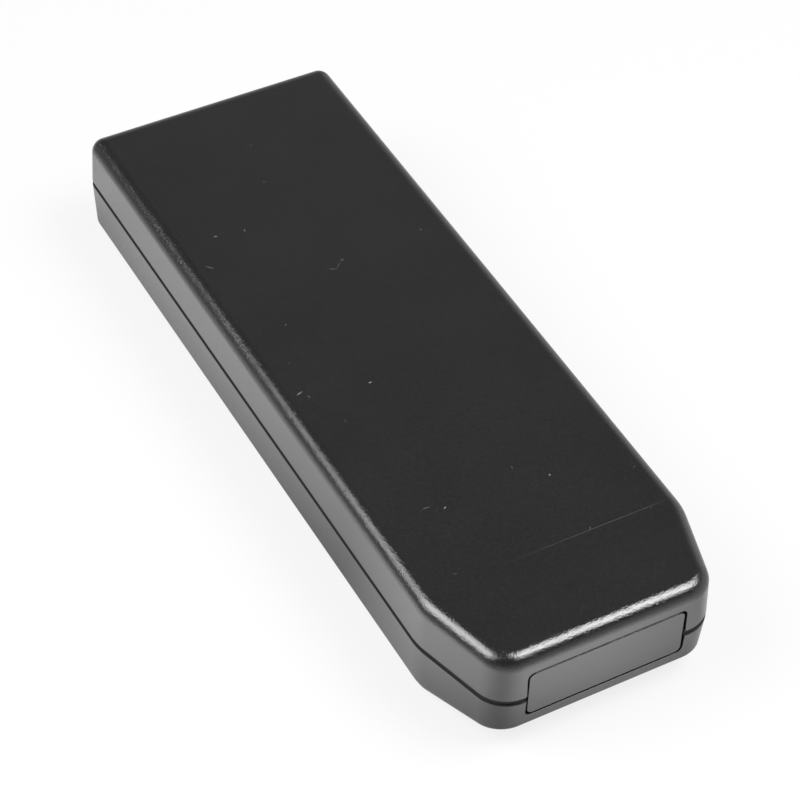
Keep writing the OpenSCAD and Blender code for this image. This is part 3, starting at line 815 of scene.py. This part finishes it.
def bay_inside(plan):
    """Cradle ribs over the cells and rails that hold the contacts."""
    bay = plan.bay
    half_bay = plan.bay_w / 2
    cradle_h, rail_t, rail_deep = 0.3 * bay.cell_d, 1 * MM, 1.2 * MM
    # Where the cradles stand, as shares of the bay's length
    cradle_places = (0.3, 0.7)
    top = plan.bay_z + ROOT
    made = []
    for share in cradle_places:
        y = plan.bay_y0 + share * (plan.bay_y1 - plan.bay_y0)
        rib = block((-half_bay - ROOT, y - bay.wall / 2, plan.bay_z - cradle_h),
                    (half_bay + ROOT, y + bay.wall / 2, top))
        r = (bay.cell_d + 2 * bay.cell_play - ROOT) / 2
        cells = [lying_cylinder(x, plan.cell_z, y - bay.wall, y + bay.wall, r)
                 for x in (-plan.cell_x, plan.cell_x)]
        made.append(shape(rib, "DIFFERENCE", *cells))
    front, rear = plan.bay_y0 + bay.sheet + ROOT, plan.bay_y1 - bay.sheet - ROOT - rail_t
    for y in (front, rear):
        for side in (-1, 0, 1):
            x = side * (half_bay - rail_deep / 2)
            half = rail_deep / 2 + ROOT * abs(side)
            made.append(block((x - half, y, plan.contact_z), (x + half, y + rail_t, top)))
    return made


def lying_cylinder(x, z, y0, y1, radius, sides=64):
    """A cylinder along Y."""
    rings = turned_rings([radius] * 2, [y0, y1], sides)
    across, up, along = np.moveaxis(rings, -1, 0)
    return loft("cell", np.stack([x + across, along, z + up], -1))


def end_panel(plan, material):
    """The end panel: a rounded plate with a rounded front edge, and the flange behind it."""
    panel = plan.panel
    flange_edge = 0.1 * MM
    face = frame_rings(panel.width, panel.height, panel.corner_r,
                       edge_levels(plan.flange_y + panel.flange_t / 2 - plan.panel_y,
                                   panel.edge, SHARP_R), steps=12)
    flange = frame_rings(panel.width + 2 * panel.flange_w, plan.flange_h,
                         panel.corner_r + panel.flange_w,
                         edge_levels(panel.flange_t, flange_edge, flange_edge), steps=12)
    parts = [loft("panel", np.stack([r[..., 0], y + r[..., 2], plan.panel_z + r[..., 1]], -1))
             for r, y in ((face, plan.panel_y), (flange, plan.flange_y))]
    return dress(joined(parts), "moulded_end_panel", "case", "panel_plastic", material,
                 "end_panel")


def battery_door(plan, material):
    """The battery door: a rounded plate wrapped round the rear underside, with guide flanges
    and a row of grip grooves."""
    bay = plan.bay
    face_edge, back_edge = 0.2 * MM, 0.1 * MM
    door = wrapped(plan, plan.door_w, plan.door_front, bay.lip_h,
                   [(bay.door_sink + depth, grow)
                    for depth, grow in edge_levels(bay.door_t, face_edge, back_edge)],
                   plan.door_r)
    # The guide flanges run this much closer to the ledges than the door to its opening
    closer = 0.05 * MM
    guide_low = bay.ledge_t + bay.door_play - closer
    half = plan.door_w / 2 + bay.guide_w
    shape(door, "UNION", block((-half, plan.door_front - bay.guide_w, guide_low),
                               (half, plan.guide_rear, plan.door_z)))
    grip_l, grip_w, grip_deep, grip_pitch = 14 * MM, 1.2 * MM, 0.5 * MM, 2.4 * MM
    grip_edge = 0.1 * MM
    rings = frame_rings(grip_l, grip_w, grip_w / 2, mouth_levels(grip_edge, grip_deep))
    u, v, depth = np.moveaxis(rings, -1, 0)
    cutters = []
    for i in range(bay.grip_count):
        y = plan.grip_y - i * grip_pitch + v
        cutters.append(loft("grip", np.stack([u, y, bay.door_sink + depth], -1)))
    shape(door, "DIFFERENCE", *cutters)
    return dress(door, "moulded_battery_door", "door", "black_plastic", material,
                 "battery_door")


def screw_rings(plan):
    """Rings of one pan-head screw, its head's seat at z = 0. The head is a cap of a sphere of
    radius crown, with a bevelled rim. The shank's radius swells from its core to its full size
    where z / pitch less the share of a turn from -Y is near a whole number and a half."""
    screw = plan.screw
    half_head, half_shank = screw.head_d / 2, screw.shank_d / 2
    crown, bevel, rim_h = 3.1 * MM, 0.1 * MM, 0.12 * MM
    dome_r = crown * np.sin(np.linspace(0.02, 1, 9) * math.pi / 2)
    dome_r = np.append(dome_r[dome_r < half_head - bevel], half_head - bevel)
    dome_z = crown - screw.head_h - np.sqrt(crown ** 2 - dome_r ** 2)
    neck_l, run_in, tip_l, thread_deep = 0.4 * MM, 0.6 * MM, 2 * MM, 0.32 * MM
    # A crest's half width as a share of the pitch, and the tip's radius as a share of the shank's
    crest_w, tip_r = 0.3, 0.1
    sides, steps = 36, 150
    core = half_shank - thread_deep
    shank_z = np.linspace(neck_l, screw.shank_l, steps)
    turn = (np.arange(sides) + 0.5) / sides
    phase = (shank_z[:, None] / screw.pitch - turn) % 1
    crest = np.clip(1 - np.abs(phase - 0.5) / crest_w, 0, 1)
    taper = np.clip((screw.shank_l - shank_z) / tip_l, tip_r, 1)[:, None]
    fade = np.clip((shank_z - neck_l) / run_in, 0, 1)[:, None]
    shank_r = (core + (half_shank - core) * crest * fade) * taper
    head_r = np.concatenate([dome_r, [half_head, half_head, half_head - bevel, core]])
    head_z = np.concatenate([dome_z, [dome_z[-1] + rim_h, -bevel, 0, 0]])
    radius = np.concatenate([np.repeat(head_r[:, None], sides, 1), shank_r])
    return turned_rings(radius, np.concatenate([head_z, shank_z]), sides)


def case_screws(plan, material):
    """Four screws with cross recesses, in one piece."""
    head_h = plan.screw.head_h
    one = loft("screw", screw_rings(plan))
    recess_l, recess_w, recess_deep, outside = 3 * MM, 0.7 * MM, 1.1 * MM, 0.2 * MM
    # A wing's size at its mouth, and how its length and width narrow to the bottom, as shares
    mouth, narrow_l, narrow_w = 1.02, 0.72, 0.8
    for across, along, narrow in ((recess_l, recess_w, (narrow_l, narrow_w)),
                                  (recess_w, recess_l, (narrow_w, narrow_l))):
        wing = mirrored(np.array([[(across, -along), (across, along)]]) / 2)[0]
        rings = [np.column_stack([flat, np.full(4, z)])
                 for flat, z in ((wing * mouth, -head_h - outside),
                                 (wing * narrow, recess_deep - head_h))]
        shape(one, "DIFFERENCE", loft("recess", np.stack(rings)))
    twins = [copy_of(one) for _ in plan.screw_places()]
    bpy.data.meshes.remove(one.data)
    for twin, (x, y) in zip(twins, plan.screw_places()):
        twin.data.transform(Matrix.Translation((x, y, plan.seat_z)))
    return dress(gathered(twins), "threaded_case_screws", "case", "screw_steel", material,
                 "case_screws")


def contact_plate(plan, x0, x1, end):
    """A contact's flat sheet on the bay's front wall (end 0) or rear wall (end 1)."""
    bay = plan.bay
    corner_r = 1 * MM
    y = plan.bay_y0 if end == 0 else plan.bay_y1 - bay.sheet
    rings = frame_rings(x1 - x0, plan.contact_h, corner_r,
                        edge_levels(bay.sheet, plan.sheet_edge, plan.sheet_edge))
    u, v, depth = np.moveaxis(rings, -1, 0)
    middle = (x0 + x1) / 2
    z = plan.contact_z + plan.contact_h / 2 + v
    return loft("plate", np.stack([middle + u, y + depth, z], -1))


def stands_on_contact(plan, rings, x, end):
    """Rings about an upright axis, laid along Y so that they stand on a contact at x."""
    u, v, w = np.moveaxis(rings, -1, 0)
    if end == 0:
        return np.stack([x + u, plan.bay_y0 + plan.bay.sheet + w, plan.cell_z - v], -1)
    return np.stack([x + u, plan.bay_y1 - plan.bay.sheet - w, plan.cell_z + v], -1)


def dome(plan, x, end):
    """The pressed dome that meets a cell's button: its height follows half a cosine wave
    between the foot and the flat tip."""
    foot_r, flank_w, flat_r, dome_h, root = 3 * MM, 1.2 * MM, 1.2 * MM, 1.1 * MM, 0.3 * MM
    s = np.linspace(0, 1, 9)
    radius = np.concatenate([[foot_r], foot_r - flank_w * s, [flat_r]])
    height = np.concatenate([[-root], dome_h * (1 - np.cos(math.pi * s)) / 2, [dome_h]])
    return loft("dome", stands_on_contact(plan, turned_rings(radius, height), x, end))


def solder_tag(plan, x):
    """The tag that a lead is soldered to, with well rounded corners and a hole. It overlaps
    the contact by lap."""
    bay = plan.bay
    lap, corner_r, hole_in, hole_r = 2 * MM, 1.2 * MM, 1.3 * MM, 0.5 * MM
    z0 = plan.contact_z + plan.contact_h - lap
    height = plan.tag_z - z0
    rings = frame_rings(plan.tag_w, height, corner_r,
                        edge_levels(bay.sheet, plan.sheet_edge, plan.sheet_edge))
    u, v, depth = np.moveaxis(rings, -1, 0)
    y = plan.bay_y1 - bay.sheet
    tag = loft("tag", np.stack([x + u, y + depth, z0 + height / 2 + v], -1))
    hole = lying_cylinder(x, plan.tag_z - hole_in, y - OVER, y + OVER, hole_r, sides=24)
    return shape(tag, "DIFFERENCE", hole)


def contacts(plan, material):
    """The three pressed contacts of the bay."""
    half, x = plan.contact_w / 2, plan.cell_x
    made = {
        "bridge_plate": [contact_plate(plan, -x - half, x + half, 0), dome(plan, x, 0)],
        "negative_plate": [contact_plate(plan, x - half, x + half, 1), solder_tag(plan, x)],
        "positive_plate": [contact_plate(plan, -x - half, -x + half, 1), solder_tag(plan, -x),
                           dome(plan, -x, 1)]}
    return [dress(joined(parts), "pressed_" + node, "case", "contact_plating", material, node)
            for node, parts in made.items()]


def coil_rings(plan):
    """Rings along a conical coil on the z axis. After u turns the outer diameter has gone from
    coil_d towards tip_d in proportion to u, and the wire has risen by a closed first turn,
    open turns at the pitch and a closed last one."""
    wire = plan.bay.wire_d
    coil_d, tip_d, turns, pitch = 8 * MM, 6 * MM, 5, 1.6 * MM
    close, lift = wire + 0.1 * MM, 0.05 * MM
    turn_steps, wire_sides = 40, 14
    u = np.linspace(0, turns, turns * turn_steps + 1)[:, None]
    radius = (coil_d + (tip_d - coil_d) * u / turns - wire) / 2
    rise = (close * np.minimum(u, 1) + pitch * np.clip(u - 1, 0, turns - 2)
            + close * np.maximum(u - turns + 1, 0))
    b = -math.pi / 2 + (np.arange(wire_sides) + 0.5) * 2 * math.pi / wire_sides
    out = radius + wire / 2 * np.cos(b)
    z = wire / 2 + rise + wire / 2 * np.sin(b) + lift
    a = 2 * math.pi * u
    return np.stack([out * np.cos(a), out * np.sin(a), z], -1)


def springs(plan, material):
    """The two conical coil springs."""
    rings = coil_rings(plan)
    return [dress(loft("coil", stands_on_contact(plan, rings, x, end)), "wound_" + node, "case",
                  "spring_wire", material, node)
            for node, x, end in (("bridge_spring", -plan.cell_x, 0),
                                 ("negative_spring", plan.cell_x, 1))]


class Wire:
    """A shader socket whose arithmetic adds Math nodes to its graph."""

    def __init__(self, graph, socket):
        self.graph = graph
        self.socket = socket

    def math(self, operation, *others):
        return self.graph.node("ShaderNodeMath", {"operation": operation}, self, *others)

    def __add__(self, other):
        return self.math("ADD", other)

    def __mul__(self, other):
        return self.math("MULTIPLY", other)

    def __sub__(self, other):
        return self.math("SUBTRACT", other)

    def __rsub__(self, other):
        return self.graph.node("ShaderNodeMath", {"operation": "SUBTRACT"}, other, self)

    __radd__ = __add__
    __rmul__ = __mul__


class Graph:
    """A material's or world's node tree, built by expressions."""

    def __init__(self, owner):
        owner.use_nodes = True
        self.tree = owner.node_tree
        self.tree.nodes.clear()

    def node(self, kind, settings=None, *inputs, output=0, **named):
        """Adds a node: its settings first, then its inputs by place or by name."""
        made = self.tree.nodes.new(kind)
        for key, value in (settings or {}).items():
            setattr(made, key, value)
        pairs = list(enumerate(inputs)) + [(k.replace("_", " "), v) for k, v in named.items()]
        for key, value in pairs:
            socket = made.inputs[key]
            if isinstance(value, Wire):
                self.tree.links.new(value.socket, socket)
            elif value is not None:
                socket.default_value = value
        return Wire(self, made.outputs[output]) if made.outputs else made

    def place(self):
        """Object coordinates."""
        return self.node("ShaderNodeTexCoord", output="Object")

    def rays(self):
        """Whether a ray comes from the camera, from a glossy surface or through a clear one."""
        return [self.node("ShaderNodeLightPath", output=kind)
                for kind in ("Is Camera Ray", "Is Glossy Ray", "Is Transmission Ray")]

    def parts(self, vector):
        """A vector's three numbers."""
        return [self.node("ShaderNodeSeparateXYZ", None, vector, output=part) for part in "XYZ"]

    def size_of(self, vector):
        """A vector's length."""
        return self.node("ShaderNodeVectorMath", {"operation": "LENGTH"}, vector,
                         output="Value")

    def noise(self, at, size, detail=2.0, roughness=0.5):
        """Noise whose blobs are about size wide."""
        return self.node("ShaderNodeTexNoise", None, Vector=at, Scale=1 / size, Detail=detail,
                         Roughness=roughness)

    def ramp(self, value, low, high, to_low=0.0, to_high=1.0):
        """A clamped linear change from to_low to to_high as value goes from low to high."""
        return self.node("ShaderNodeMapRange", None, value, low, high, to_low, to_high)

    def blend(self, share, first, second):
        """A mix of two colours."""
        made = self.tree.nodes.new("ShaderNodeMix")
        made.data_type = "RGBA"
        for socket, value in ((made.inputs[0], share), (made.inputs[6], first),
                              (made.inputs[7], second)):
            if isinstance(value, Wire):
                self.tree.links.new(value.socket, socket)
            else:
                socket.default_value = value
        return Wire(self, made.outputs[2])

    def bump(self, height, distance):
        """A bumped normal from a height of 0 to 1 and the height's size in metres."""
        return self.node("ShaderNodeBump", None, Height=height, Distance=distance, Strength=1.0)

    def finish(self, **sockets):
        """The surface shader and the output."""
        surface = self.node("ShaderNodeBsdfPrincipled", None, **sockets)
        self.node("ShaderNodeOutputMaterial", None, surface)


def rgba(value):
    """A colour property as four numbers."""
    return (*value, 1.0)


# Marks on the top face: x and y of the middle, length and width in millimetres, turn in
# degrees, and how light the mark is
MARKS = (
    (-1.1, 24.7, 1.9, 0.22, -29, 0.3),
    (0.5, 25.1, 1.9, 0.2, 44, 0.22),
    (2.1, 26.4, 0.8, 0.4, -2, 0.28),
    (-24.8, 37.2, 1.8, 0.24, -47, 0.4),
    (-19.3, 45.7, 0.8, 0.4, -12, 0.55),
    (-12.7, 44.6, 0.9, 0.3, -110, 0.4),
    (1.5, 70, 0.8, 0.3, -38, 0.12),
    (-1.5, 57.3, 0.8, 0.35, -10, 0.16),
    (22.3, 27.4, 0.5, 0.35, -80, 0.3),
    (-18.2, 13.6, 0.5, 0.35, 24, 0.35),
    (-22.8, 3, 0.35, 0.3, 0, 0.2),
    (-10.3, -9.9, 0.65, 0.36, -9, 1),
    (-25, -6.1, 1.5, 0.28, 17, 0.85),
    (-23.7, -7.8, 0.8, 0.3, -70, 0.28),
    (-20.2, -17.5, 0.6, 0.4, 60, 0.14),
    (-17.4, -46.4, 0.8, 0.22, 10, 0.45),
    (-16.7, -46.5, 0.75, 0.22, -22, 0.4),
    (-13.7, -48.1, 0.7, 0.34, 27, 0.8),
    (9.7, -49.9, 0.42, 0.38, 22, 0.8),
    (3.9, -44.6, 0.7, 0.22, -85, 0.35),
    (-20.5, -64.4, 0.8, 0.5, -23, 0.1),
    (9.5, -66.1, 0.7, 0.24, -130, 0.3),
    (26.3, -55.8, 0.4, 0.3, 0, 0.25),
)


def scuffs(plan, graph, at, marks):
    """How scuffed the top face is. Each mark is a thin ellipse, found as the length of the place
    in the mark's own turned and stretched coordinates. Along the crease runs a fine pale line that
    fades out to the left."""
    x, y, z = graph.parts(at)
    line_y = plan.top_crease - plan.body.crease
    crease = graph.ramp((y - line_y).math("ABSOLUTE"), 0.16 * MM, 0.05 * MM)
    crease = crease * graph.ramp(x, -13 * MM, 9 * MM) * graph.ramp(x, 28 * MM, 23 * MM)
    crease = crease * graph.ramp(graph.noise(at, 3 * MM), 0.3, 0.6, 0.12, 0.17)
    scuffed = crease * graph.ramp(z, plan.top_z - 1 * MM, plan.top_z - 0.5 * MM)
    for mark_x, mark_y, long, wide, turn, light in marks:
        local = graph.node("ShaderNodeMapping", {"vector_type": "TEXTURE"}, at,
                           (mark_x * MM, mark_y * MM, plan.top_z),
                           (0, 0, math.radians(turn)),
                           (long / 2 * MM, wide / 2 * MM, 2 * MM))
        scuffed = scuffed.math("MAXIMUM", graph.ramp(graph.size_of(local), 1.3, 0.6, 0, light))
    return scuffed


def in_shadow_gap(plan, graph, at):
    """Where a shell's surface lies in the shadow gap, which the plastic darkens with painted
    shade: within half the gap's height of the joint, which grows from the crease to the nose."""
    x, y, z = graph.parts(at)
    half_gap = graph.ramp(y, plan.nose_y, plan.top_crease, plan.seam.nose_gap / 2,
                          plan.seam.gap / 2)
    past = (z - plan.joint_z).math("ABSOLUTE") - half_gap
    return graph.ramp(past, 0.06 * MM, 0.02 * MM)


def plastic(plan, name, base, marks=(), shell=False):
    """Spark-eroded black plastic: fine grain in the bump, faint unevenness in its colour and its
    gloss, and scuffed marks. On a shell the shadow gap is duller, and its colour is darkened with
    painted shade for the shade of the gap's depth."""
    finish = plan.sizes.finish
    material = bpy.data.materials.new(name)
    graph = Graph(material)
    at = graph.place()
    grain = graph.noise(at, finish.grain, 0.0)
    cloud = graph.noise(at, 22 * MM, 3.0, 0.55)
    colour_here = graph.blend(graph.ramp(cloud, 0.35, 0.65), rgba([c * 0.95 for c in base]),
                              rgba([c * 1.05 for c in base]))
    rough = graph.ramp(cloud, 0.3, 0.7, finish.roughness - 0.015, finish.roughness + 0.015)
    if shell:
        # Painted shade: in the shadow gap the colour falls to a quarter of the black, standing in
        # for the shade of the gap's depth, and the roughness rises.
        painted_gap_shade = in_shadow_gap(plan, graph, at)
        colour_here = graph.blend(painted_gap_shade, colour_here, rgba([c * 0.25 for c in base]))
        rough = rough + painted_gap_shade * 0.8
    if marks:
        scuffed = scuffs(plan, graph, at, marks)
        colour_here = graph.blend(scuffed, colour_here, rgba(finish.worn))
        rough = rough + scuffed * 0.3
    graph.finish(Base_Color=colour_here, Roughness=rough, Normal=graph.bump(grain, finish.grain_h),
                 IOR=1.95)
    return material


def metal(name, base, roughness, brushed):
    """Plated metal: a brushed or wound grain in its gloss and its bump, and duller patches."""
    material = bpy.data.materials.new(name)
    graph = Graph(material)
    at = graph.place()
    stretched = graph.node("ShaderNodeMapping", None, at, Scale=brushed)
    streaks = graph.noise(stretched, 0.2 * MM, 3.0, 0.6)
    patches = graph.noise(at, 3 * MM, 3.0, 0.6)
    base_colour = graph.blend(graph.ramp(patches, 0.35, 0.7), rgba([c * 0.85 for c in base]),
                              rgba(base))
    rough = graph.ramp(streaks + patches, 0.7, 1.3, roughness - 0.06, roughness + 0.08)
    normal = graph.bump(streaks, 0.004 * MM)
    graph.finish(Base_Color=base_colour, Roughness=rough, Metallic=1.0, Normal=normal)
    return material


# The softboxes: where each one hangs, the point that it faces and its size, in metres
SIDE_BOX = (-0.698, 0.196, 0.744), (-0.092, -0.182, 0.024), 1.17
TOP_BOX = (0.313, -0.238, 0.661), (0.047, -0.109, 0.002), 0.7


def studio(plan):
    """Camera, lamps, floor and room."""
    look = plan.sizes.studio
    scene = bpy.context.scene
    scene.view_settings.view_transform = "Standard"
    a, e, roll = look.azimuth, look.elevation, look.roll
    back = Vector((math.sin(a) * math.cos(e), -math.cos(a) * math.cos(e), math.sin(e)))
    right = Vector((math.cos(a), math.sin(a), 0))
    up = back.cross(right)
    turned_right = right * math.cos(roll) + up * math.sin(roll)
    turned_up = up * math.cos(roll) - right * math.sin(roll)
    target = (Vector((0, 0, look.look_h)) + turned_right * look.look_right
              + turned_up * look.look_up)
    camera_data = bpy.data.cameras.new("camera")
    camera_data.sensor_width = 36
    camera_data.lens = look.focal / MM
    camera_data.clip_start, camera_data.clip_end = 0.01, 10
    camera = bpy.data.objects.new("camera", camera_data)
    place = Matrix((turned_right, turned_up, back)).transposed().to_4x4()
    place.translation = target + back * look.distance
    camera.matrix_world = place
    scene.collection.objects.link(camera)
    scene.camera = camera
    floor(plan)
    room(look.fill)
    softbox("side_softbox", look.side_lamp, *SIDE_BOX)
    softbox("top_softbox", look.top_lamp, *TOP_BOX)


def softbox(name, middle, place, target, size):
    """A square lamp that faces a point. It is brightest in its middle and fades out towards
    its rim, as the light of one bulb behind a white cloth does."""
    data = bpy.data.lights.new(name, "AREA")
    data.size = size
    data.energy = middle * math.pi * size ** 2
    graph = Graph(data)
    at = graph.node("ShaderNodeNewGeometry", output="Parametric")
    away = graph.node("ShaderNodeVectorMath", {"operation": "DISTANCE"}, at, (0.5, 0.5, 0),
                      output="Value")
    glow = graph.node("ShaderNodeMapRange", {"interpolation_type": "SMOOTHSTEP"}, away,
                      0.14, 0.5, 1.0, 0.0)
    graph.node("ShaderNodeOutputLight", None,
               graph.node("ShaderNodeEmission", None, Color=(1, 1, 1, 1), Strength=glow))
    lamp = bpy.data.objects.new(name, data)
    lamp.matrix_world = Matrix.LocRotScale(
        place, (Vector(place) - Vector(target)).to_track_quat("Z", "Y"), None)
    lamp.visible_camera = False
    bpy.context.scene.collection.objects.link(lamp)


# Pools of light and shade on the table: x and y of the middle, half width and half depth in
# millimetres, and how much brighter the table is there
POOLS = (
    (-52, -72, 30, 52, 0.5),
    (-85, -40, 50, 90, 0.5),
    (-46, 60, 22, 110, 0.42),
    (4, -119, 46, 34, 0.8),
    (30, -165, 50, 36, 0.4),
    (36, -88, 16, 20, 0.17),
    (60, 0, 36, 130, -0.13),
    (56, 30, 30, 45, -0.2),
)


def reflected_table(plan, graph, at):
    """How bright reflections see the table: darker close to the object, which shades it, with
    pools of light and shade, and darker again further off."""
    beside = graph.node("ShaderNodeVectorMath", {"operation": "ABSOLUTE"}, at)
    beside = graph.node("ShaderNodeVectorMath", {"operation": "SUBTRACT"}, beside,
                        (plan.side_x, plan.rear_y, 0))
    beside = graph.node("ShaderNodeVectorMath", {"operation": "MAXIMUM"}, beside, (0, 0, 0))
    shine = graph.ramp(graph.size_of(beside), 0, 12 * MM, 0.42, 0.72)
    for x, y, wide, deep, more in POOLS:
        local = graph.node("ShaderNodeMapping", {"vector_type": "TEXTURE"}, at,
                           (x * MM, y * MM, 0), (0, 0, 0), (wide * MM, deep * MM, 1))
        shine = shine + graph.ramp(graph.size_of(local), 1, 0.4, 0, more)
    # A texture mapping divides by the scale: the dark starts 0.12 m to the side, 0.24 m along
    far = graph.node("ShaderNodeMapping", {"vector_type": "TEXTURE"}, at, Scale=(0.2, 0.4, 1))
    return shine * graph.ramp(graph.size_of(far), 0.6, 1.6, 1, 0.15)


def floor(plan):
    """A white table top that fades into the white background and keeps a soft shadow. Seen
    from below it is clear."""
    table_r, drop, sides = 500 * MM, 0.05 * MM, 96
    ring = turned_rings([table_r], [-drop], sides)[0]
    mesh = bpy.data.meshes.new("floor")
    mesh.from_pydata(ring.tolist(), [], [list(range(sides))])
    table = bpy.data.objects.new("floor", mesh)
    bpy.context.scene.collection.objects.link(table)
    material = bpy.data.materials.new("white_table")
    graph = Graph(material)
    camera_ray, glossy, clear_ray = graph.rays()
    at = graph.place()
    strength = glossy * reflected_table(plan, graph, at) + (1 - glossy)
    white = graph.node("ShaderNodeEmission", None, Color=(1, 1, 1, 1), Strength=strength)
    paper = graph.node("ShaderNodeBsdfDiffuse", None, Color=(0.9, 0.9, 0.9, 1))
    clear = graph.node("ShaderNodeBsdfTransparent")
    seen = camera_ray.math("MAXIMUM", clear_ray)
    share = (seen * graph.ramp(graph.size_of(at), 0.3, 0.48, 0.82, 1)).math("MAXIMUM", glossy)
    table_top = graph.node("ShaderNodeMixShader", None, share, paper, white)
    behind = graph.node("ShaderNodeNewGeometry", output="Backfacing")
    graph.node("ShaderNodeOutputMaterial", None,
               graph.node("ShaderNodeMixShader", None, behind, table_top, clear))
    mesh.materials.append(material)


# Where in the room the paler spot lies that the rear of the top face reflects
SPOT = (0.36, 0.66, 0.66)


def room(fill):
    """White behind the object for the camera. Reflections see walls that darken upwards and are
    paler on the right and in the rear, a pale stretch near the table everywhere but in the
    rear, a dim ceiling and a pale spot. The rest gets an even dim light."""
    world = bpy.data.worlds.new("room")
    bpy.context.scene.world = world
    graph = Graph(world)
    camera_ray, glossy, clear_ray = graph.rays()
    way = graph.node("ShaderNodeTexCoord", output="Generated")
    x, y, z = graph.parts(way)
    walls = graph.ramp(z, 0.2, 0.72, 0.34, 0) * (0.7 + 0.35 * x + 0.3 * y)
    near_table = graph.ramp(z, 0.05, 0.4, 0.3, 0) * graph.ramp(y, 0.7, 0.5)
    ceiling = graph.ramp(z, 0.73, 0.84, 0, 0.07)
    from_spot = graph.node("ShaderNodeVectorMath", {"operation": "DISTANCE"}, way, SPOT,
                           output="Value")
    spot = graph.ramp(from_spot, 0.12, 0.02, 0, 0.17)
    reflected = walls + near_table + ceiling + spot
    seen = camera_ray.math("MAXIMUM", clear_ray)
    strength = seen + glossy * reflected + (1 - seen) * (1 - glossy) * fill
    light = graph.node("ShaderNodeBackground", None, Color=(1, 1, 1, 1), Strength=strength)
    graph.node("ShaderNodeOutputWorld", None, light)


class EnclosurePiece:
    """What the operators share: each builds from the scene's sizes and raises what fails."""
    bl_options = {"REGISTER", "UNDO"}

    def execute(self, context):
        self.build(Plan(context.scene.enclosure))
        return {"FINISHED"}


class ENCLOSURE_OT_top_shell(EnclosurePiece, bpy.types.Operator):
    """Adds the top shell"""
    bl_idname = "enclosure.top_shell"
    bl_label = "Top Shell"

    def build(self, plan):
        top_shell(plan, plastic(plan, "marked_black_plastic", plan.sizes.finish.plastic, MARKS,
                                shell=True))


class ENCLOSURE_OT_bottom_shell(EnclosurePiece, bpy.types.Operator):
    """Adds the bottom shell"""
    bl_idname = "enclosure.bottom_shell"
    bl_label = "Bottom Shell"

    def build(self, plan):
        bottom_shell(plan, plastic(plan, "black_plastic", plan.sizes.finish.plastic,
                                   shell=True))


class ENCLOSURE_OT_end_panel(EnclosurePiece, bpy.types.Operator):
    """Adds the end panel"""
    bl_idname = "enclosure.end_panel"
    bl_label = "End Panel"

    def build(self, plan):
        end_panel(plan, plastic(plan, "panel_plastic", plan.sizes.finish.panel))


class ENCLOSURE_OT_battery_door(EnclosurePiece, bpy.types.Operator):
    """Adds the battery door"""
    bl_idname = "enclosure.battery_door"
    bl_label = "Battery Door"

    def build(self, plan):
        battery_door(plan, plastic(plan, "door_plastic", plan.sizes.finish.plastic))


class ENCLOSURE_OT_case_screws(EnclosurePiece, bpy.types.Operator):
    """Adds the four case screws"""
    bl_idname = "enclosure.case_screws"
    bl_label = "Case Screws"

    def build(self, plan):
        case_screws(plan, metal("zinc_plated_steel", plan.sizes.finish.steel, 0.34, (1, 1, 0.2)))


class ENCLOSURE_OT_contacts(EnclosurePiece, bpy.types.Operator):
    """Adds the battery contacts"""
    bl_idname = "enclosure.contacts"
    bl_label = "Contacts"

    def build(self, plan):
        contacts(plan, metal("nickel_plated_sheet", plan.sizes.finish.nickel, 0.28, (0.1, 1, 1)))


class ENCLOSURE_OT_springs(EnclosurePiece, bpy.types.Operator):
    """Adds the coil springs"""
    bl_idname = "enclosure.springs"
    bl_label = "Springs"

    def build(self, plan):
        springs(plan, metal("nickel_plated_wire", plan.sizes.finish.nickel, 0.22, (1, 1, 1)))


class ENCLOSURE_OT_studio(EnclosurePiece, bpy.types.Operator):
    """Adds the camera, the lamps and the floor"""
    bl_idname = "enclosure.studio"
    bl_label = "Studio"

    def build(self, plan):
        studio(plan)


class ENCLOSURE_PT_pieces(bpy.types.Panel):
    """Lists the enclosure's pieces in the sidebar"""
    bl_label = "Enclosure"
    bl_space_type = "VIEW_3D"
    bl_region_type = "UI"
    bl_category = "Enclosure"

    def draw(self, context):
        for operator in OPERATORS:
            self.layout.operator(operator.bl_idname)
        sizes = context.scene.enclosure
        for group in (sizes.body, sizes.seam, sizes.panel, sizes.bay, sizes.screw,
                      sizes.finish, sizes.studio):
            box = self.layout.box()
            for name in group.__annotations__:
                box.prop(group, name)


GROUPS = (BodySizes, SeamSizes, PanelSizes, BaySizes, ScrewSizes, FinishLook, StudioLook,
          EnclosureSizes)
OPERATORS = (ENCLOSURE_OT_studio, ENCLOSURE_OT_top_shell, ENCLOSURE_OT_bottom_shell,
             ENCLOSURE_OT_end_panel, ENCLOSURE_OT_battery_door, ENCLOSURE_OT_case_screws,
             ENCLOSURE_OT_contacts, ENCLOSURE_OT_springs)


def register():
    for made in (*GROUPS, *OPERATORS, ENCLOSURE_PT_pieces):
        bpy.utils.register_class(made)
    bpy.types.Scene.enclosure = PointerProperty(type=EnclosureSizes)


def unregister():
    del bpy.types.Scene.enclosure
    for made in reversed((*GROUPS, *OPERATORS, ENCLOSURE_PT_pieces)):
        bpy.utils.unregister_class(made)


def main():
    """Builds the stage and every piece."""
    register()
    for operator in OPERATORS:
        getattr(bpy.ops.enclosure, operator.bl_idname.split(".")[1])()


if __name__ == "__main__":
    main()
